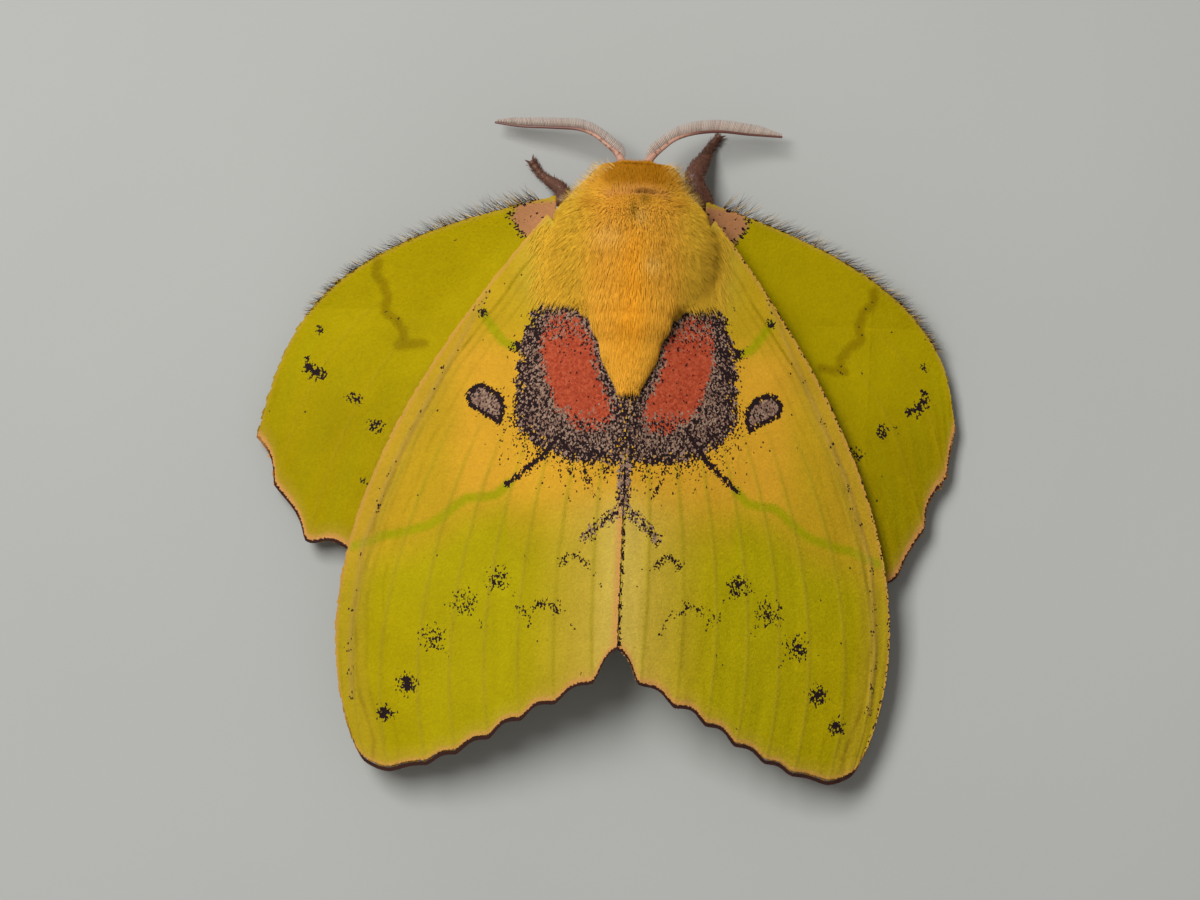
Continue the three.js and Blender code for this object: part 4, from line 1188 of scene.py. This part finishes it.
def scale_coat(name, wing, rows, spacing, lean):
    """The scales on both faces of a wing with the fringe at its outer edge, in one mesh. With a
    lean they scatter the light more to the wing's tip."""
    plan, top, crests, sign, marks_of = wing
    parts, bakes, bends, all_marks = [], [], [], []
    for face, drop, gap in ((1, SCALE_LAYER, spacing), (-1, SCALE_LAYER + MEMBRANE, spacing * 2)):
        surface = wing_surface(plan, top, crests, sign, drop)
        u, v = places_on(surface, int(rows * spacing / gap), gap, (0.003, 0.997))
        u = u * 0.985
        length = rng.uniform(1.7, 2.3, len(u)) * gap
        wide = rng.uniform(1.1, 1.45, len(u)) * gap
        # The fringe: close-set long scales that end on the outline.
        edge = (np.arange(FRINGE_BLADES) + rng.uniform(0.1, 0.9, FRINGE_BLADES)) / FRINGE_BLADES
        stretch = to_edge(plan, 0.98 + 0 * edge, edge, 1 + 0 * edge, edge) / 0.02
        u = np.concatenate([u, 1 - FRINGE_LENGTH / stretch])
        v = np.concatenate([v, edge])
        length = np.concatenate([length, FRINGE_LENGTH * rng.uniform(0.88, 1.06, FRINGE_BLADES)])
        wide = np.concatenate([wide, rng.uniform(0.05, 0.08, FRINGE_BLADES)])
        points, along, across, outward = frame_on(surface, u, v)
        up = outward * sign * face
        along = unit(along + across * rng.normal(0, 0.08, len(u))[:, None])
        across = unit(np.cross(along, up))
        lift = rng.uniform(0.01, 0.035, len(u))[:, None]
        roots = points + up * 0.012
        tips = points + along * length[:, None] + up * lift
        wide = wide[:, None] / 2
        parts.append(np.stack([roots - across * wide * 0.7, roots + across * wide * 0.7,
                               tips + across * wide, tips - across * wide], 1))
        # Towards the thorax the scales stand looser and scatter the light more evenly.
        loose = LOOSE_SCALES * ramp(points[:, 1], -7.0, 4.0)[:, None] * (0, 0, max(face, 0))
        loose = loose + (lean * sign, 0, 0)
        aside = across * rng.normal(0, 0.07, len(u))[:, None]
        bend = unit(up + loose + aside - along * rng.uniform(0, 0.1, len(u))[:, None])
        bends.append(np.repeat(bend, 4, axis=0))
        marks = marks_of(plan, points + along * length[:, None] * 0.6, u, v)
        fringe = np.arange(len(u)) >= len(u) - FRINGE_BLADES
        marks["fringe"] = fringe * (1 - 0.5 * ramp(v, 0.9, 0.98))
        for mark in ("dark", "rose", "red"):
            marks[mark] = (rng.random(len(u)) < marks[mark]).astype(float) * 1.01
        all_marks.append(marks)
        flat = points[:, :2] * (sign, 1)
        low = np.array([0.0, -22.0])
        middle = (flat - low) / np.array([46.0, 36.0]) + (0.002 if face > 0 else 0.5, 0.002)
        corners = np.array([(0, 0), (1, 0), (1, 1), (0, 1)]) * BAKE_PATCH
        bakes.append((middle[:, None] + corners).reshape(-1, 2))
    corners = np.concatenate(parts).reshape(-1, 3)
    faces = np.arange(len(corners)).reshape(-1, 4)
    marks = {
        mark: np.repeat(np.concatenate([part[mark] for part in all_marks]), 4) for mark in all_marks[0]
    }
    made = piece(name, corners, faces, scale_finish, marks, np.concatenate(bakes), np.concatenate(bends))


def root_hair(side, sign):
    """Long hair of the thorax's sides, lying back and outwards over the root of the forewing."""
    surface = wing_surface(fore_plan, fore_top, FORE_CRESTS, sign, SCALE_LAYER)
    u, v = places_on(surface, 200, 0.06, (0.003, 0.997))
    points, _, _, outward = frame_on(surface, u, v)
    x, y = np.abs(points[:, 0]), points[:, 1]
    dense = ramp(x, 2.4, 3.0) * (1 - ramp(x, 3.8, 5.8))
    kept = rng.random(len(u)) < dense * ramp(y, 6.6, 7.6) * (1 - ramp(y, 11.0, 11.8))
    u, v, points, outward = u[kept], v[kept], points[kept], outward[kept] * sign
    lie = unit(np.array([0.42 * sign, -0.9, 0.0]) + rng.normal(0, 0.12, points.shape))
    lie = unit(lie - outward * (lie * outward).sum(-1, keepdims=True))
    rises = 0.15 + 0.3 * (1 - ramp(np.abs(points[:, 0]), 3.4, 4.8))
    corners, faces, normals = tufts(points, outward, lie, rng.uniform(0.6, 1.1, len(u)), rises, 0.04)
    marks = body_marks(points)
    marks["yellow"] = 1 + 0 * u
    marks["dark_tip"] = 0 * u
    name = f"forewing_{side}_root_hair"
    made = piece(name, corners, faces, hair, tuft_marks(marks), tuft_bake(u, v), normals)


FORE_ROWS, FORE_SPACING = 370, 0.078
HIND_ROWS, HIND_SPACING, HIND_LEAN = 240, 0.085, 0.28
EDGE_HAIRS = 800
for side, sign in (("left", -1), ("right", 1)):
    wing = fore_plan, fore_top, FORE_CRESTS, sign, fore_marks
    membrane(f"forewing_{side}_membrane", wing, f"forewing_{side}", 180, 150)
    scale_coat(f"forewing_{side}_scales", wing, FORE_ROWS, FORE_SPACING, 0)
    root_hair(side, sign)
    crests = HIND_CRESTS[side]
    hind_front = [HIND_ROOT, *HIND_FRONT_PULLS[side], crests[-1, :2]]
    hind_plan = wing_plan([HIND_INNER, crests[0, :2]], hind_front, [HIND_INNER, HIND_ROOT], crests)

    def marks_here(plan, points, u, v, side=side):
        return hind_marks(side, plan, points, u, v)

    wing = hind_plan, hind_top, crests, sign, marks_here
    membrane(f"hindwing_{side}_membrane", wing, f"hindwing_{side}", 130, 110)
    scale_coat(f"hindwing_{side}_scales", wing, HIND_ROWS, HIND_SPACING, HIND_LEAN)

    # Long hairs, black with some gold, stand out along the hindwing's front edge.
    surface = wing_surface(hind_plan, hind_top, crests, sign, SCALE_LAYER)
    share = rng.random(EDGE_HAIRS) ** 1.3
    u, v = 0.02 + 0.55 * share, 1 - rng.uniform(0.004, 0.02, EDGE_HAIRS)
    points, along, across, _ = frame_on(surface, u, v)
    lift = np.array([0, 0, 0.35]) * rng.uniform(0, 1, EDGE_HAIRS)[:, None]
    lie = unit(across + along * rng.normal(0.9, 0.35, EDGE_HAIRS)[:, None] + lift)
    lengths = rng.uniform(0.4, 1.7, EDGE_HAIRS) * (1 - 0.55 * share)
    upward = np.tile(UPWARD, (EDGE_HAIRS, 1))
    corners, faces, normals = tufts(points, upward, lie, lengths, 0.05, 0.024)
    marks = {mark: 0 * share for mark in ("front", "orange", "pale", "ochre", "collar", "olive", "under")}
    marks["yellow"] = 1 + 0 * share
    # These hairs take the crease's dark colour as their own black.
    marks["crease"] = (rng.random(EDGE_HAIRS) < 0.88).astype(float)
    marks["dark_tip"] = marks["crease"]
    from_root = (0.7, 0.7, 0.7, 1, 1, 1, 1)
    name, bake = f"hindwing_{side}_edge_hair", tuft_bake(share, v * 0.5)
    made = piece(name, corners, faces, hair, tuft_marks(marks, from_root), bake, normals)

# ==== Floor, light and camera =======================================================
# A pale matt floor, one soft lamp high over the moth's left shoulder and an even pale
# surround. The camera looks almost straight down, from a little to the moth's left.
FLOOR_REACH = 1500.0
floor_finish = new_finish("painted_plaster", Roughness=0.85)
place = in_millimetres(floor_finish)
grain = add(floor_finish, "TexNoise", {"Vector": place, "Scale": 1 / 1.5, "Detail": 4.0}).outputs["Fac"]
wash = add(floor_finish, "TexNoise", {"Vector": place, "Scale": 1 / 25, "Detail": 1.0}).outputs["Fac"]
pale = add(
    floor_finish, "Mix", {0: wash, 6: paint("#a8aaa9"), 7: paint("#b0b2b0")}, data_type="RGBA"
).outputs[2]
relief = add(floor_finish, "Bump", {"Strength": 0.15, "Distance": 0.05 * MM, "Height": grain}).outputs[0]
feed(floor_finish, pale, relief)
floor_corners = FLOOR_REACH * np.array([(-1, -1, 0), (1, -1, 0), (1, 1, 0), (-1, 1, 0)])
floor = piece("floor", floor_corners, np.array([(0, 1, 2, 3)]), floor_finish)
floor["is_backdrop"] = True

AIM = np.array([-1.28, -1.8, 4.0])  # the point at the middle of the view, in millimetres
AIM_POINT = Vector(in_frame(AIM).tolist())
LAMP_DIRECTION = Vector((-0.43, 0.38, 0.84)).normalized()
LAMP_DISTANCE = 0.45
lamp_upright = (Vector((0, 1, 0)) - LAMP_DIRECTION * LAMP_DIRECTION.y).normalized()
lamp_data = bpy.data.lights.new("soft_lamp", "AREA")
lamp_data.shape = "RECTANGLE"
lamp_data.size = 0.16
lamp_data.size_y = 0.25
lamp_data.energy = 2.15
lamp_data.color = (1.0, 0.985, 0.96)
lamp = bpy.data.objects.new("soft_lamp", lamp_data)
lamp_axes = Matrix((lamp_upright.cross(LAMP_DIRECTION), lamp_upright, LAMP_DIRECTION)).transposed()
lamp.matrix_world = Matrix.Translation(AIM_POINT + LAMP_DIRECTION * LAMP_DISTANCE) @ lamp_axes.to_4x4()
bpy.context.scene.collection.objects.link(lamp)

world = bpy.data.worlds.new("even_pale_surround")
world.use_nodes = True
world.node_tree.nodes["Background"].inputs["Color"].default_value = paint("#e4e0da")
world.node_tree.nodes["Background"].inputs["Strength"].default_value = 0.34
bpy.context.scene.world = world
bpy.context.scene.view_settings.view_transform = "Standard"

VIEW_TILT, VIEW_ROLL = math.radians(3.4), math.radians(2.05)
VIEW_DISTANCE = 0.26
back = Vector((-math.sin(VIEW_TILT), 0, math.cos(VIEW_TILT)))
upright = (Vector((0, 1, 0)) - back * back.y).normalized()
sideways = upright.cross(back)
up = upright * math.cos(VIEW_ROLL) - sideways * math.sin(VIEW_ROLL)
right = sideways * math.cos(VIEW_ROLL) + upright * math.sin(VIEW_ROLL)
camera_data = bpy.data.cameras.new("camera")
camera_data.sensor_width = 36
camera_data.lens = 133.4
camera_data.clip_start = 0.01
camera = bpy.data.objects.new("camera", camera_data)
camera_axes = Matrix((right, up, back)).transposed().to_4x4()
camera.matrix_world = Matrix.Translation(AIM_POINT + back * VIEW_DISTANCE) @ camera_axes
bpy.context.scene.collection.objects.link(camera)
bpy.context.scene.camera = camera

# ==== Size ==========================================================================
# The box of every shown piece of the dressed moth, floor left out.
low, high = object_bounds()
